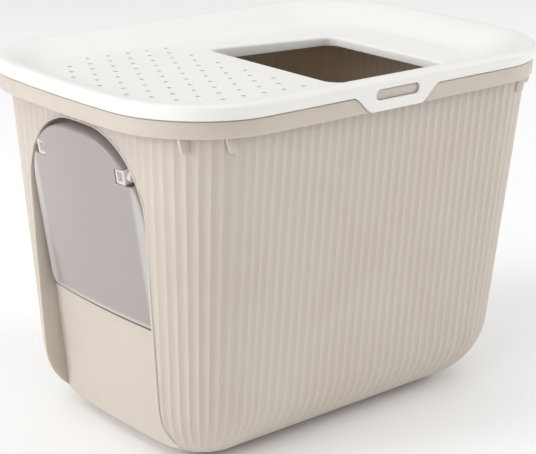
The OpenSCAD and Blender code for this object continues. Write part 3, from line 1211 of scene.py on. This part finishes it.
@dataclass
class TubRim(Part):
    """The flange round the tub's mouth: band, web and upstand, with stacking fins and latch catches."""

    nodes: tuple[str, ...] = ("tub",)
    form: TubForm = field(default_factory=TubForm)
    latch: LatchForm = field(default_factory=LatchForm)
    lid_half: np.ndarray = field(default_factory=lambda: np.array([285.0, 196.3]))
    lid_corner: float = 105.2
    lid_bow: float = 12.3
    ledge: float = 391.2
    band: float = 2.4
    band_inset: float = 2.0
    upstand_inset: float = 3.2
    upstand: float = 11.0
    parting: float = 392.4
    skirt: float = 2.2
    fin_spots: tuple[tuple[float, float], ...] = ((251.0, 156.0), (213.0, 181.0))
    fin_long: float = 14.0
    fin_drop: float = 15.5
    fin_thick: float = 3.0
    fin_taper: float = 4.0
    pocket_reach: float = 4.0
    window_depth: float = 5.4
    catch_shift: float = 0.5
    catch_slant: float = 0.1
    catch_profile: tuple[tuple[float, float], ...] = ((0.5, 5.0), (0.5, 0.6), (0.7, 0.15), (1.2, 0.0))

    def ring(self, columns: Columns, inset: float, z: float) -> np.ndarray:
        """Makes a ring that follows the lid's edge at an inset."""
        half, corner = self.lid_half - inset, self.lid_corner - inset
        return at_height(rounded_ring(columns, half, corner, self.lid_bow, self.form.side_bow), z)

    def wall_ring(self, columns: Columns, inset: float, z: float) -> np.ndarray:
        """Makes a ring that follows the tub's wall at an inset.

        Args:
            columns: Where the points lie.
            inset: Depth inside the wall's outer face.
            z: Height.

        Returns:
            The ring.
        """
        form = self.form
        half, corner = form.half(z, inset), form.corner(z, inset)
        return at_height(rounded_ring(columns, half, corner, form.end_bow, form.side_bow), z)

    def flange(self) -> bpy.types.Object:
        """Makes the flange and cuts the pockets that the latch tabs hang in.

        Returns:
            The flange.
        """
        columns = Columns.even(14, 36, 24)
        outer, inner = self.band_inset, self.band_inset + self.band
        low, top, web = self.form.flange_z, self.ledge, self.ledge - self.band
        rise, back = self.upstand_inset, self.upstand_inset + self.band
        wall = self.form.wall
        profile = [(outer, low + 1.0), (outer + 0.3, low + 0.3), (outer + 1.0, low), (inner - 0.6, low),
                   (inner - 0.1, low + 0.3), (inner, low + 1.0), (inner, web)]
        under = [self.ring(columns, *p) for p in profile]
        mouth = [self.wall_ring(columns, *p) for p in (
            (wall * 0.6, web), (wall, web + 0.6), (wall, top - 0.6), (wall * 0.6, top))]
        profile = [(back, top), (back, top + self.upstand - 0.6), (back - 0.6, top + self.upstand),
                   (rise + 0.6, top + self.upstand), (rise, top + self.upstand - 0.6), (rise, top),
                   (outer + 0.7, top), (outer + 0.2, top - 0.2), (outer, top - 0.7)]
        over = [self.ring(columns, *p) for p in profile]
        piece = loft("tub_rim", under + mouth + over, wrap=True)
        return combine(piece, self.pockets() + self.windows(), "DIFFERENCE")

    def pockets(self) -> list[bpy.types.Object]:
        """Makes the solids that clear the latch tabs.

        Returns:
            A solid for each long side.
        """
        gap, floor = self.parting - self.ledge, self.lid_half[1] - self.skirt - 0.7
        x = np.linspace(-self.latch.width / 2 - gap, self.latch.width / 2 + gap, 49)
        edge = np.column_stack([x, self.latch.lower_edge(x, self.parting, gap)])
        outline = np.vstack([edge, [(x[-1], self.ledge + 3), (x[0], self.ledge + 3)]])
        reach = (floor, self.lid_half[1] + self.pocket_reach)
        return [loft("pocket", [upright(outline, side * y) for y in reach]) for side in (-1, 1)]

    def windows(self) -> list[bpy.types.Object]:
        """Makes the solids that open the band behind each latch slot, so that its catch stands free.

        Returns:
            A solid for each long side.
        """
        outline = self.latch.stadium(-0.6, self.parting - self.latch.slot_drop)
        reach = (self.lid_half[1] - self.window_depth, self.lid_half[1] + self.pocket_reach)
        return [loft("window_cut", [upright(outline, side * y) for y in reach]) for side in (-1, 1)]

    def catches(self) -> list[bpy.types.Object]:
        """Makes the catch behind each latch slot, with a face that slants back towards its foot.

        Returns:
            The two catches.
        """
        face = self.lid_half[1] - self.skirt - 0.3
        middle = self.parting - self.latch.slot_drop
        made = []
        for side in (-1, 1):
            rings = []
            for shrink, depth in self.catch_profile:
                outline = self.latch.stadium(shrink, middle - self.catch_shift) + (self.catch_shift, 0.0)
                share = self.catch_slant if depth < 1 else 0.0
                slant = np.clip(middle - outline[:, 1], 0, None) * share
                rings.append(upright(outline, side * (face - depth - slant)))
            made.append(loft(f"latch_catch_{'left' if side > 0 else 'right'}", rings))
        return made

    def fin(self) -> bpy.types.Object:
        """Makes one stacking fin, with its outer edge at the origin.

        Returns:
            The fin.
        """
        taper, drop = self.fin_taper, self.fin_drop
        outline = np.array([(-self.fin_long, 0.6), (0.0, 0.6), (0.0, -1.0), (-taper, -drop + 1.0),
                            (-taper - 1.0, -drop), (-self.fin_long, -drop)])
        half = self.fin_thick / 2
        piece = loft("fin", [upright(outline, y) for y in (-half, half)])
        soften(piece, 0.5)
        return piece

    def fins(self) -> bpy.types.Object:
        """Sets the stacking fins under the flange at every corner.

        Returns:
            All the fins as one piece.
        """
        spots = [(mx * x, my * y, self.form.flange_z)
                 for x, y in self.fin_spots for mx in (-1, 1) for my in (-1, 1)]
        piece = loose_points("stacking_fins", spots)
        turns = np.array([(0, 0, math.pi if x < 0 else 0.0) for x, _, _ in spots])
        turn = piece.data.attributes.new("turn", "FLOAT_VECTOR", "POINT")
        turn.data.foreach_set("vector", turns.ravel())
        fin = self.fin()
        tree = GeometryTree("Stacking fins")
        source = tree.size("Fin", "NodeSocketObject")
        shape = tree.add("GeometryNodeObjectInfo", {"Object": source})
        facing = tree.add("FunctionNodeEulerToRotation", {0: tree.field("turn", "FLOAT_VECTOR")})
        placed = tree.add("GeometryNodeInstanceOnPoints", {
            "Points": tree.inputs.outputs["Geometry"], "Instance": shape.outputs["Geometry"],
            "Rotation": facing.outputs[0]})
        tree.close(placed.outputs[0])
        tree.apply(piece, {"Fin": fin})
        bpy.data.objects.remove(fin)
        return piece

    def build(self) -> None:
        """Makes the flange, the fins and the catches."""
        for piece in (self.flange(), self.fins(), *self.catches()):
            self.seat(piece, TUB_FINISH)


@dataclass
class OpeningForm:
    """Outline of the top opening, a little narrower at its right end."""

    left: float = -23.0
    right: float = 152.0
    front: float = -126.0
    back_left: float = 89.0
    back_right: float = 72.0
    corner: float = 17.0
    steps: int = 10

    def outline(self, grow: float) -> np.ndarray:
        """Lists the outline's points in plan, anticlockwise, grown by grow.

        Args:
            grow: How far the outline is grown.

        Returns:
            The points.
        """
        r = self.corner
        lean = math.degrees(math.atan2(self.back_left - self.back_right, self.right - self.left - 2 * r))
        corners = (((self.right - r, self.back_right - r), 0, 90 - lean),
                   ((self.left + r, self.back_left - r), 90 - lean, 180),
                   ((self.left + r, self.front + r), 180, 270),
                   ((self.right - r, self.front + r), 270, 360))
        points = []
        for (x, y), start, end in corners:
            for i in range(self.steps + 1):
                a = math.radians(start + (end - start) * i / self.steps)
                points.append((x + (r + grow) * math.cos(a), y + (r + grow) * math.sin(a)))
        return np.array(points)


@dataclass
class DishedLid(Part):
    """The lid: skirt and latch tabs, rolled edge, dished slopes, perforated platform and collared opening."""

    body: Body = Body.LID
    nodes: tuple[str, ...] = ("lid",)
    latch: LatchForm = field(default_factory=LatchForm)
    opening: OpeningForm = field(default_factory=OpeningForm)
    half: np.ndarray = field(default_factory=lambda: np.array([285.0, 196.3]))
    corner: float = 105.2
    end_bow: float = 12.3
    side_bow: float = 0.6
    parting: float = 392.4
    crest: float = 407.0
    skirt: float = 2.2
    thick: float = 2.4
    land: float = 402.5
    land_inset: float = 9.6
    crest_in: float = 7.0
    platform_left: float = -236.0
    platform_right: float = 215.0
    platform_wide: float = 128.0
    platform_corner: float = 70.0
    dish_depth: float = 17.5
    dish_slope: float = 0.02
    collar: float = 12.0
    collar_roll: float = 3.2
    hole_width: float = 6.0
    hole_pitch: float = 26.5
    row_pitch: float = 23.5
    first_hole: float = -58.8
    end_edge: float = 4.0
    hole_edge: float = 12.0
    chamfer: float = 0.45
    drill_sides: int = 24
    drill_depth: float = 12.0
    tab_reach: float = 66.0
    slope_steps: int = 22
    edge_high: float = 4.2
    edge_in: float = 4.6
    skirt_round: tuple[float, float] = (1.8, 2.2)
    collar_foot: tuple[tuple[float, float], ...] = ((0.0, 0.7), (0.25, 0.15), (0.8, 0.0))
    slot_profile: tuple[tuple[float, float], ...] = (
        (0.0, 6.0), (0.0, 0.7), (-0.2, 0.25), (-0.7, 0.0), (-0.7, -2.0))

    def columns(self) -> Columns:
        """Spaces the points so that they are close along the latch tabs.

        Returns:
            The spacing.
        """
        straight = self.half[0] - self.corner
        tab = np.linspace(self.tab_reach, 0.0, 45)
        rest = np.linspace(straight, self.tab_reach, 12)[1:-1]
        side = np.concatenate([rest, tab]) / straight
        return Columns(np.arange(12) / 12, np.arange(41) / 40 * 90, side)

    def platform_z(self, x: np.ndarray) -> np.ndarray:
        """Gives the platform's height, which slopes down towards the opening."""
        return self.crest - self.dish_depth - self.dish_slope * x

    def edge(self, columns: Columns, inset: float) -> np.ndarray:
        """Makes the plan ring that follows the lid's edge at an inset."""
        return rounded_ring(columns, self.half - inset, self.corner - inset, self.end_bow, self.side_bow)

    def dish(self, columns: Columns, share: float, drop: float) -> np.ndarray:
        """Makes a ring of the slope, from the crest at share 0 to the platform at share 1.

        Args:
            columns: Where the points lie.
            share: Place on the slope.
            drop: Depth below the top face.

        Returns:
            The ring.
        """
        crest = self.edge(columns, self.crest_in)
        foot_half = np.array([(self.platform_right - self.platform_left) / 2, self.platform_wide])
        foot = rounded_ring(columns, foot_half, self.platform_corner, 0.0, self.side_bow)
        foot[:, 0] += (self.platform_right + self.platform_left) / 2
        plan = crest * (1 - share) + foot * share
        ease = (1 - math.cos(math.pi * share)) / 2
        return at_height(plan, self.crest * (1 - ease) + self.platform_z(plan[:, 0]) * ease - drop)

    def skirt_foot(self, columns: Columns, inset: float, lift: float) -> np.ndarray:
        """Makes the ring along the skirt's lower edge, which dips round the latch tabs.

        Args:
            columns: Where the points lie.
            inset: Distance inside the edge.
            lift: Height above the skirt's lowest line.

        Returns:
            The ring.
        """
        plan = self.edge(columns, inset)
        on_side = np.abs(plan[:, 1]) > self.half[1] - self.corner / 4
        low = np.where(on_side, self.latch.lower_edge(plan[:, 0], self.parting), self.parting)
        return at_height(plan, low + lift)

    def flat(
        self, outer: np.ndarray, inner: np.ndarray, drop: float
    ) -> tuple[np.ndarray, list[tuple[int, ...]]]:
        """Fills the platform between its edge and the opening.

        Args:
            outer: The ring round the platform.
            inner: The opening's outline.
            drop: Depth below the top face.

        Returns:
            The points, and the faces between them.
        """
        plan = np.vstack([outer[:, :2], inner])
        loops = [[Vector((x, y, 0.0)) for x, y in loop] for loop in (outer[:, :2], inner)]
        return at_height(plan, self.platform_z(plan[:, 0]) - drop), tessellate_polygon(loops)

    def shell(self) -> bpy.types.Object:
        """Makes the lid's closed skin, with its opening and collar.

        Returns:
            The skin.
        """
        columns, skirt, steps = self.columns(), self.skirt, self.slope_steps
        rings = [self.dish(columns, i / steps, self.thick) for i in range(steps, 2, -1)]
        rings += [at_height(self.edge(columns, inset), self.land) for inset in (self.land_inset, skirt + 0.6)]
        rings += [at_height(self.edge(columns, skirt), self.land - 0.6)]
        rings += [self.skirt_foot(columns, skirt, 0.4), self.skirt_foot(columns, skirt - 0.3, 0.05)]
        for a in np.linspace(0, math.pi / 2, 6):
            wide, high = self.skirt_round
            rings.append(self.skirt_foot(columns, wide * (1 - math.sin(a)), high * (1 - math.cos(a))))
        for a in np.linspace(0, math.pi / 2, 8):
            plan = self.edge(columns, self.edge_in * (1 - math.cos(a)))
            rings.append(at_height(plan, self.crest - self.edge_high * (1 - math.sin(a))))
        rings += [self.dish(columns, i / steps, 0.0) for i in range(steps + 1)]
        count = len(rings[0])
        points, faces = [*rings], ring_faces(len(rings), count, False)
        self.add_flat(points, faces, rings[-1], self.collar_roll, 0.0)
        self.add_flat(points, faces, rings[0], self.thick, self.thick)
        self.add_collar(points, faces)
        return plain_mesh("lid_shell", np.vstack(points), faces)

    def add_flat(self, points: list, faces: list, outer: np.ndarray, grow: float, drop: float) -> None:
        """Adds the top or underside of the platform to a mesh in the making.

        Args:
            points: The mesh's points so far, in batches.
            faces: The mesh's faces so far.
            outer: The ring round the platform.
            grow: How far the opening's outline is grown.
            drop: Depth below the top face.
        """
        plan, flat = self.flat(outer, self.opening.outline(grow), drop)
        start = sum(len(p) for p in points)
        points.append(plan)
        faces += [tuple(start + i for i in f) for f in flat]

    def add_collar(self, points: list, faces: list) -> None:
        """Adds the rolled edge and the collar that hangs round the opening.

        Args:
            points: The mesh's points so far, in batches.
            faces: The mesh's faces so far.
        """
        roll, thick = self.collar_roll, self.thick
        foot = self.platform_z((self.opening.right - self.opening.left) / 2) - self.collar
        rings = []
        for i in range(9):
            a = math.pi / 2 * i / 8
            plan = self.opening.outline(roll * (1 - math.sin(a)))
            rings.append(at_height(plan, self.platform_z(plan[:, 0]) - roll * (1 - math.cos(a))))
        for grow, lift in (*self.collar_foot, (thick - 0.8, 0.0), (thick - 0.2, 0.2), (thick, 0.8)):
            rings.append(at_height(self.opening.outline(grow), foot + lift))
        plan = self.opening.outline(thick)
        rings.append(at_height(plan, self.platform_z(plan[:, 0]) - thick))
        start, count = sum(len(p) for p in points), len(rings[0])
        points += rings
        faces += [tuple(start + i for i in f) for f in ring_faces(len(rings), count, False)]

    def holes(self) -> list[tuple[float, float]]:
        """Lists the places of the perforations, in rows that step half a pitch.

        Returns:
            The places in plan.
        """
        places = []
        rows = int((self.platform_wide - self.hole_width) / self.row_pitch)
        for row in range(-rows, rows + 1):
            for column in range(math.ceil(-self.platform_left / self.hole_pitch) + 1):
                x = self.first_hole - self.hole_pitch * (column + (1 - row % 2) / 2)
                y = row * self.row_pitch
                past_x = self.platform_left + self.platform_corner - x
                past_y = abs(y) - (self.platform_wide - self.platform_corner)
                reach = self.platform_corner - self.hole_edge
                near = past_x < 0 or past_y < 0 or math.hypot(past_x, past_y) < reach
                if near and x > self.platform_left + self.end_edge:
                    places.append((x, y))
        return places

    def perforate(self, piece: bpy.types.Object) -> None:
        """Cuts the perforations through the platform.

        Args:
            piece: The lid's skin.
        """
        places = [(x, y, self.platform_z(x)) for x, y in self.holes()]
        lattice = loose_points("hole_places", places)
        tree = GeometryTree("Perforations")
        source, width = tree.size("Places", "NodeSocketObject"), tree.size("Hole width")
        depth, chamfer = tree.size("Depth"), tree.size("Chamfer")
        spots = tree.add("GeometryNodeObjectInfo", {"Object": source})
        radius = tree.math("DIVIDE", width, 2.0)
        sides = self.drill_sides
        drill = tree.add("GeometryNodeMeshCylinder", {"Vertices": sides, "Radius": radius, "Depth": depth})
        bit = tree.add("GeometryNodeMeshCone", {
            "Vertices": sides, "Radius Bottom": tree.math("SUBTRACT", radius, chamfer),
            "Radius Top": tree.math("ADD", radius, chamfer), "Depth": tree.math("MULTIPLY", chamfer, 2.0)})
        sunk = tree.add("ShaderNodeCombineXYZ", {"Z": tree.math("MULTIPLY", chamfer, -1.0)})
        low_bit = tree.add(
            "GeometryNodeTransform", {"Geometry": bit.outputs[0], "Translation": sunk.outputs[0]})
        copies = []
        for shape in (drill.outputs[0], low_bit.outputs[0]):
            placed = tree.add(
                "GeometryNodeInstanceOnPoints", {"Points": spots.outputs["Geometry"], "Instance": shape})
            real = tree.add("GeometryNodeRealizeInstances", {"Geometry": placed.outputs[0]})
            copies.append(real.outputs[0])
        result = tree.inputs.outputs["Geometry"]
        for copy in copies:
            cut = tree.add("GeometryNodeMeshBoolean", {0: result}, operation="DIFFERENCE", solver="EXACT")
            tree.tree.links.new(copy, cut.inputs["Mesh 2"])
            result = cut.outputs["Mesh"]
        tree.close(result)
        tree.apply(piece, {
            "Places": lattice, "Hole width": self.hole_width * MM,
            "Depth": self.drill_depth * MM, "Chamfer": self.chamfer * MM})
        bpy.data.objects.remove(lattice)

    def slots(self) -> list[bpy.types.Object]:
        """Makes the solids that cut the latch slots.

        Returns:
            A solid for each long side.
        """
        middle = self.parting - self.latch.slot_drop
        return [loft("slot_cut", [
            upright(self.latch.stadium(shrink, middle), side * (self.half[1] - depth))
            for shrink, depth in self.slot_profile]) for side in (-1, 1)]

    def build(self) -> None:
        """Makes the lid."""
        piece = combine(self.shell(), self.slots(), "DIFFERENCE")
        self.perforate(piece)
        self.seat(piece, LID_FINISH)


@dataclass
class SwingFlap(Part):
    """The smoked flap, a shallow tray that hangs from two pins and leans into the box."""

    body: Body = Body.FLAP
    nodes: tuple[str, ...] = ("flap",)
    pin_x: float = 249.0
    pin_z: float = 320.0
    lean: float = 9.0
    half_wide: float = 99.5
    above: float = 36.5
    below: float = 167.0
    top_corner: float = 88.0
    foot_corner: float = 13.0
    thick: float = 2.0
    face_out: float = 8.0
    face_bow: float = 4.0
    rim_back: float = 4.0
    edge_roll: float = 2.6
    door_half: float = 103.5
    door_corner: float = 90.0
    door_top: float = 360.0
    face_shares: tuple[float, ...] = (1.0, 0.96, 0.9, 0.8, 0.65, 0.5, 0.35, 0.2, 0.08)

    def socket_y(self) -> float:
        """Gives the distance from the middle to the recess's side wall at the pins."""
        rise = self.pin_z - self.door_top + self.door_corner
        return self.door_half - self.door_corner + math.sqrt(self.door_corner**2 - rise**2)

    def outline(self, inset: float) -> np.ndarray:
        """Lists the flap's outline in Y and Z about its pins, anticlockwise from the foot's middle.

        Args:
            inset: Distance inside the edge.

        Returns:
            The points.
        """
        half, top, foot = self.half_wide - inset, self.above - inset, -self.below + inset
        r, f = self.top_corner - inset, self.foot_corner - inset
        right = [(y, foot) for y in np.linspace(0, half - f, 12)[:-1]]
        bends = np.linspace(0, math.pi / 2, 13), np.linspace(0, math.pi / 2, 41)
        right += [(half - f + f * math.sin(a), foot + f - f * math.cos(a)) for a in bends[0]]
        right += [(half, z) for z in np.linspace(foot + f, top - r, 9)[1:-1]]
        right += [(half - r + r * math.cos(a), top - r + r * math.sin(a)) for a in bends[1]]
        right += [(y, top) for y in np.linspace(half - r, 0, 4)[1:]]
        points = np.array(right)
        return np.vstack([points, (points[1:-1] * (-1, 1))[::-1]])

    def face_x(self, y: np.ndarray, depth: float) -> np.ndarray:
        """Gives how far behind the pins the bowed face lies, at a depth inside it."""
        radius = self.half_wide**2 / (2 * self.face_bow) + self.face_bow / 2
        return radius - self.face_out - self.face_bow - np.sqrt((radius - depth) ** 2 - np.asarray(y) ** 2)

    def hang(self, points: np.ndarray) -> np.ndarray:
        """Turns points drawn about upright pins to the flap's lean, in the object's frame.

        Args:
            points: The points about upright pins.

        Returns:
            The points in place.
        """
        a = math.radians(-self.lean)
        x = points[:, 0] * math.cos(a) + points[:, 2] * math.sin(a)
        z = -points[:, 0] * math.sin(a) + points[:, 2] * math.cos(a)
        return np.column_stack([x - self.pin_x, points[:, 1], z + self.pin_z])

    def face_rings(self, depth: float, rim: float) -> list[np.ndarray]:
        """Makes rings over one side of the face, from its rim to its middle.

        Args:
            depth: Depth inside the outer face.
            rim: Distance of the first ring inside the flap's edge.

        Returns:
            The rings.
        """
        edge = self.outline(rim)
        centre = np.array([0.0, (self.above - self.below) / 2])
        rings = []
        for share in self.face_shares:
            points = centre + (edge - centre) * share
            rings.append(np.column_stack([self.face_x(points[:, 0], depth), points]))
        return rings

    def tray(self) -> bpy.types.Object:
        """Makes the tray: bowed face, rolled edge and rim.

        Returns:
            The tray, hung in place.
        """
        roll, thick, back = self.edge_roll, self.thick, self.rim_back
        rings = self.face_rings(thick, roll + thick * 0.6)[::-1]
        inner = max(0.6, roll - thick)
        for a in (30, 60, 90):
            t = math.radians(a)
            outline = self.outline(thick + inner * (1 - math.sin(t)))
            x = self.face_x(outline[:, 0], thick) + inner * (1 - math.cos(t))
            rings.append(np.column_stack([x, outline]))
        for inset, x in ((thick, back - 0.5), (thick - 0.5, back), (0.5, back), (0.0, back - 0.5)):
            outline = self.outline(inset)
            rings.append(np.column_stack([np.full(len(outline), x), outline]))
        for a in (90, 72, 54, 36, 18):
            t = math.radians(a)
            outline = self.outline(roll * (1 - math.sin(t)))
            x = self.face_x(outline[:, 0], 0.0) + roll * (1 - math.cos(t))
            rings.append(np.column_stack([x, outline]))
        rings += self.face_rings(0.0, roll)
        return loft("swing_flap", [self.hang(ring) for ring in rings])

    def window(self, clip: "HingeClip") -> list[bpy.types.Object]:
        """Makes the solids that clear the hinge clips.

        Args:
            clip: A clip that they clear.

        Returns:
            A solid for each side.
        """
        reach = (-self.face_out - self.face_bow - 6, self.rim_back + 3)
        high = (-clip.half_high, clip.half_high)
        ends = clip.inner(self), self.half_wide + 6
        boxes = [box_points(reach, tuple(side * y for y in ends), high) for side in (-1, 1)]
        return [plain_mesh("clip_window", self.hang(box), BOX_FACES) for box in boxes]

    def build(self, clip: "HingeClip") -> None:
        """Makes the flap.

        Args:
            clip: The clip that its windows take.
        """
        piece = combine(self.tray(), self.window(clip), "DIFFERENCE")
        self.seat(piece, FLAP_FINISH)


@dataclass
class HingeClip(Part):
    """A frosted clip that fills the flap's window and carries a hinge pin."""

    body: Body = Body.FLAP
    nodes: tuple[str, ...] = ("hinge_clip_left",)
    side: int = 1
    half_high: float = 8.0
    front: float = 9.0
    back: float = 4.0
    wide: float = 14.5
    rim: float = 2.5
    pocket: float = 5.0
    pin_radius: float = 2.5
    spacer_radius: float = 6.0
    spacer_gap: float = 5.0
    pin_hold: float = 5.0
    wall_gap: float = 10.5

    def inner(self, flap: SwingFlap) -> float:
        """Gives the clip's inner end, measured from the middle."""
        return flap.socket_y() - self.wall_gap - self.wide

    def block(self, flap: SwingFlap) -> bpy.types.Object:
        """Makes the clip's body with its pocket.

        Args:
            flap: The flap that the clip sits in.

        Returns:
            The body, hung in place.
        """
        start, end, high, rim = self.inner(flap), self.inner(flap) + self.wide, self.half_high, self.rim
        sizes = (((-self.front, self.back), (start, end), high),
                 ((-self.front - 2, self.pocket - self.front), (start + rim, end - rim), high - rim))
        piece, pocket = (plain_mesh("clip_box", flap.hang(box_points(
            x, tuple(self.side * v for v in y), (-z, z))), BOX_FACES) for x, y, z in sizes)
        combine(piece, [pocket], "DIFFERENCE")
        soften(piece, 0.7, 3)
        return piece

    def shaft(self, flap: SwingFlap) -> bpy.types.Object:
        """Makes the spacer and the pin as one turned form.

        Args:
            flap: The flap that the clip sits in.

        Returns:
            The turned form, hung in place.
        """
        start = flap.socket_y() - self.wall_gap - 1.0
        step, end = flap.socket_y() - self.spacer_gap, flap.socket_y() + self.pin_hold
        spacer, pin = self.spacer_radius, self.pin_radius
        profile = [(spacer, start), (spacer, step - 0.6), (spacer - 0.6, step),
                   (pin, step), (pin, end - 0.5), (pin - 0.5, end)]
        return loft("clip_shaft", [flap.hang(upright(turned(r), self.side * y)) for r, y in profile])

    def build(self, flap: SwingFlap) -> None:
        """Makes the clip.

        Args:
            flap: The flap that the clip sits in.
        """
        piece = combine(self.block(flap), [self.shaft(flap)], "UNION")
        piece.name = "clip_left" if self.side > 0 else "clip_right"
        self.seat(piece, CLIP_FINISH)


@dataclass(frozen=True)
class Lamp:
    """A square soft light that faces the object: place and side in metres, power in watts."""

    name: str
    place: tuple[float, float, float]
    side: float
    power: float


LAMPS = (
    Lamp("window", (-3.49, 1.27, 1.7), 1.6, 50),
    Lamp("front", (-3.43, -1.25, 1.83), 1.6, 24),
    Lamp("fill", (3.21, -1.85, 1.7), 1.6, 52),
    Lamp("overhead", (0.0, 0.6, 3.6), 9.0, 92),
    Lamp("top", (-1.9, 0.2, 3.1), 1.4, 14),
)


@dataclass
class Studio:
    """The pale floor, the soft lights and the camera."""

    target: tuple[float, float, float] = (-6.45, 0.0, 204.5)
    azimuth: float = -40.533
    elevation: float = 18.131
    roll: float = 0.66
    distance: float = 1807.4
    lens: float = 106.68
    sensor: float = 36.0
    sight: float = 30.0
    shift: tuple[float, float] = (0.0025, -0.01215)
    floor_half: float = 6.0
    floor_tone: float = 600.0
    sky_strength: float = 0.46
    aim: tuple[float, float, float] = (0.0, 0.0, 0.2)

    def camera(self) -> None:
        """Makes the camera at the photograph's angle."""
        a, e, r = (math.radians(v) for v in (self.azimuth, self.elevation, self.roll))
        ahead = Vector((-math.sin(a) * math.cos(e), math.cos(a) * math.cos(e), -math.sin(e)))
        right = Vector((math.cos(a), math.sin(a), 0.0))
        up = right.cross(ahead)
        across = right * math.cos(r) + up * math.sin(r)
        over = up * math.cos(r) - right * math.sin(r)
        data = bpy.data.cameras.new("camera")
        data.lens = self.lens
        data.sensor_width = self.sensor
        data.shift_x, data.shift_y = self.shift
        data.clip_end = self.sight
        camera = link_new("camera", data)
        turn = Matrix((across, over, -ahead)).transposed().to_4x4()
        place = (Vector(self.target) - ahead * self.distance) * MM
        camera.matrix_world = Matrix.Translation(place) @ turn
        bpy.context.scene.camera = camera

    def floor(self) -> None:
        """Makes the pale floor."""
        half = self.floor_half
        corners = [(-half, -half, 0), (half, -half, 0), (half, half, 0), (-half, half, 0)]
        mesh = bpy.data.meshes.new("floor")
        mesh.from_pydata(corners, [], [(0, 1, 2, 3)])
        tree = ShaderTree("floor_paper")
        tone = tree.spread(tree.noise(self.floor_tone), 0.0, 1.0)
        paper = tree.blend(tone, linear(253, 253, 253), linear(254, 254, 254))
        tree.links.new(paper, tree.shader.inputs["Base Color"])
        tree.shader.inputs["Roughness"].default_value = 0.9
        tree.shader.inputs["Specular IOR Level"].default_value = 0.1
        mesh.materials.append(tree.material)
        link_new("floor", mesh)

    def light(self, lamp: Lamp) -> None:
        """Adds a lamp.

        Args:
            lamp: The lamp.
        """
        data = bpy.data.lights.new(lamp.name, "AREA")
        data.shape, data.size, data.energy = "SQUARE", lamp.side, lamp.power
        thing = link_new(lamp.name, data)
        thing.location = lamp.place
        aim = Vector(self.aim) - Vector(lamp.place)
        thing.rotation_euler = aim.to_track_quat("-Z", "Y").to_euler()

    def sky(self) -> None:
        """Sets the soft light that comes from all round."""
        world = bpy.data.worlds.new("studio")
        world.use_nodes = True
        background = world.node_tree.nodes["Background"]
        background.inputs["Color"].default_value = (1.0, 1.0, 1.0, 1.0)
        background.inputs["Strength"].default_value = self.sky_strength
        bpy.context.scene.world = world

    def build(self) -> None:
        """Makes the camera, the floor and the lights."""
        bpy.context.scene.view_settings.view_transform = "Standard"
        self.camera()
        self.floor()
        for lamp in LAMPS:
            self.light(lamp)
        self.sky()


def main() -> None:
    """Builds the litter box piece by piece, then the studio."""
    logging.basicConfig(level=logging.INFO, format="%(name)s %(message)s")
    Studio().build()
    lid_low, lid_high = frame_box("lid")
    lid_half = (lid_high - lid_low)[:2] / 2
    flap, recess = SwingFlap(), DoorRecess()
    FlutedTub().build(recess)
    recess.build(flap)
    TubRim(lid_half=lid_half).build()
    DishedLid(half=lid_half, crest=lid_high[2]).build()
    flap.build(HingeClip())
    for side, node in ((1, "hinge_clip_left"), (-1, "hinge_clip_right")):
        HingeClip(side=side, nodes=(node,)).build(flap)


if __name__ == "__main__":
    main()
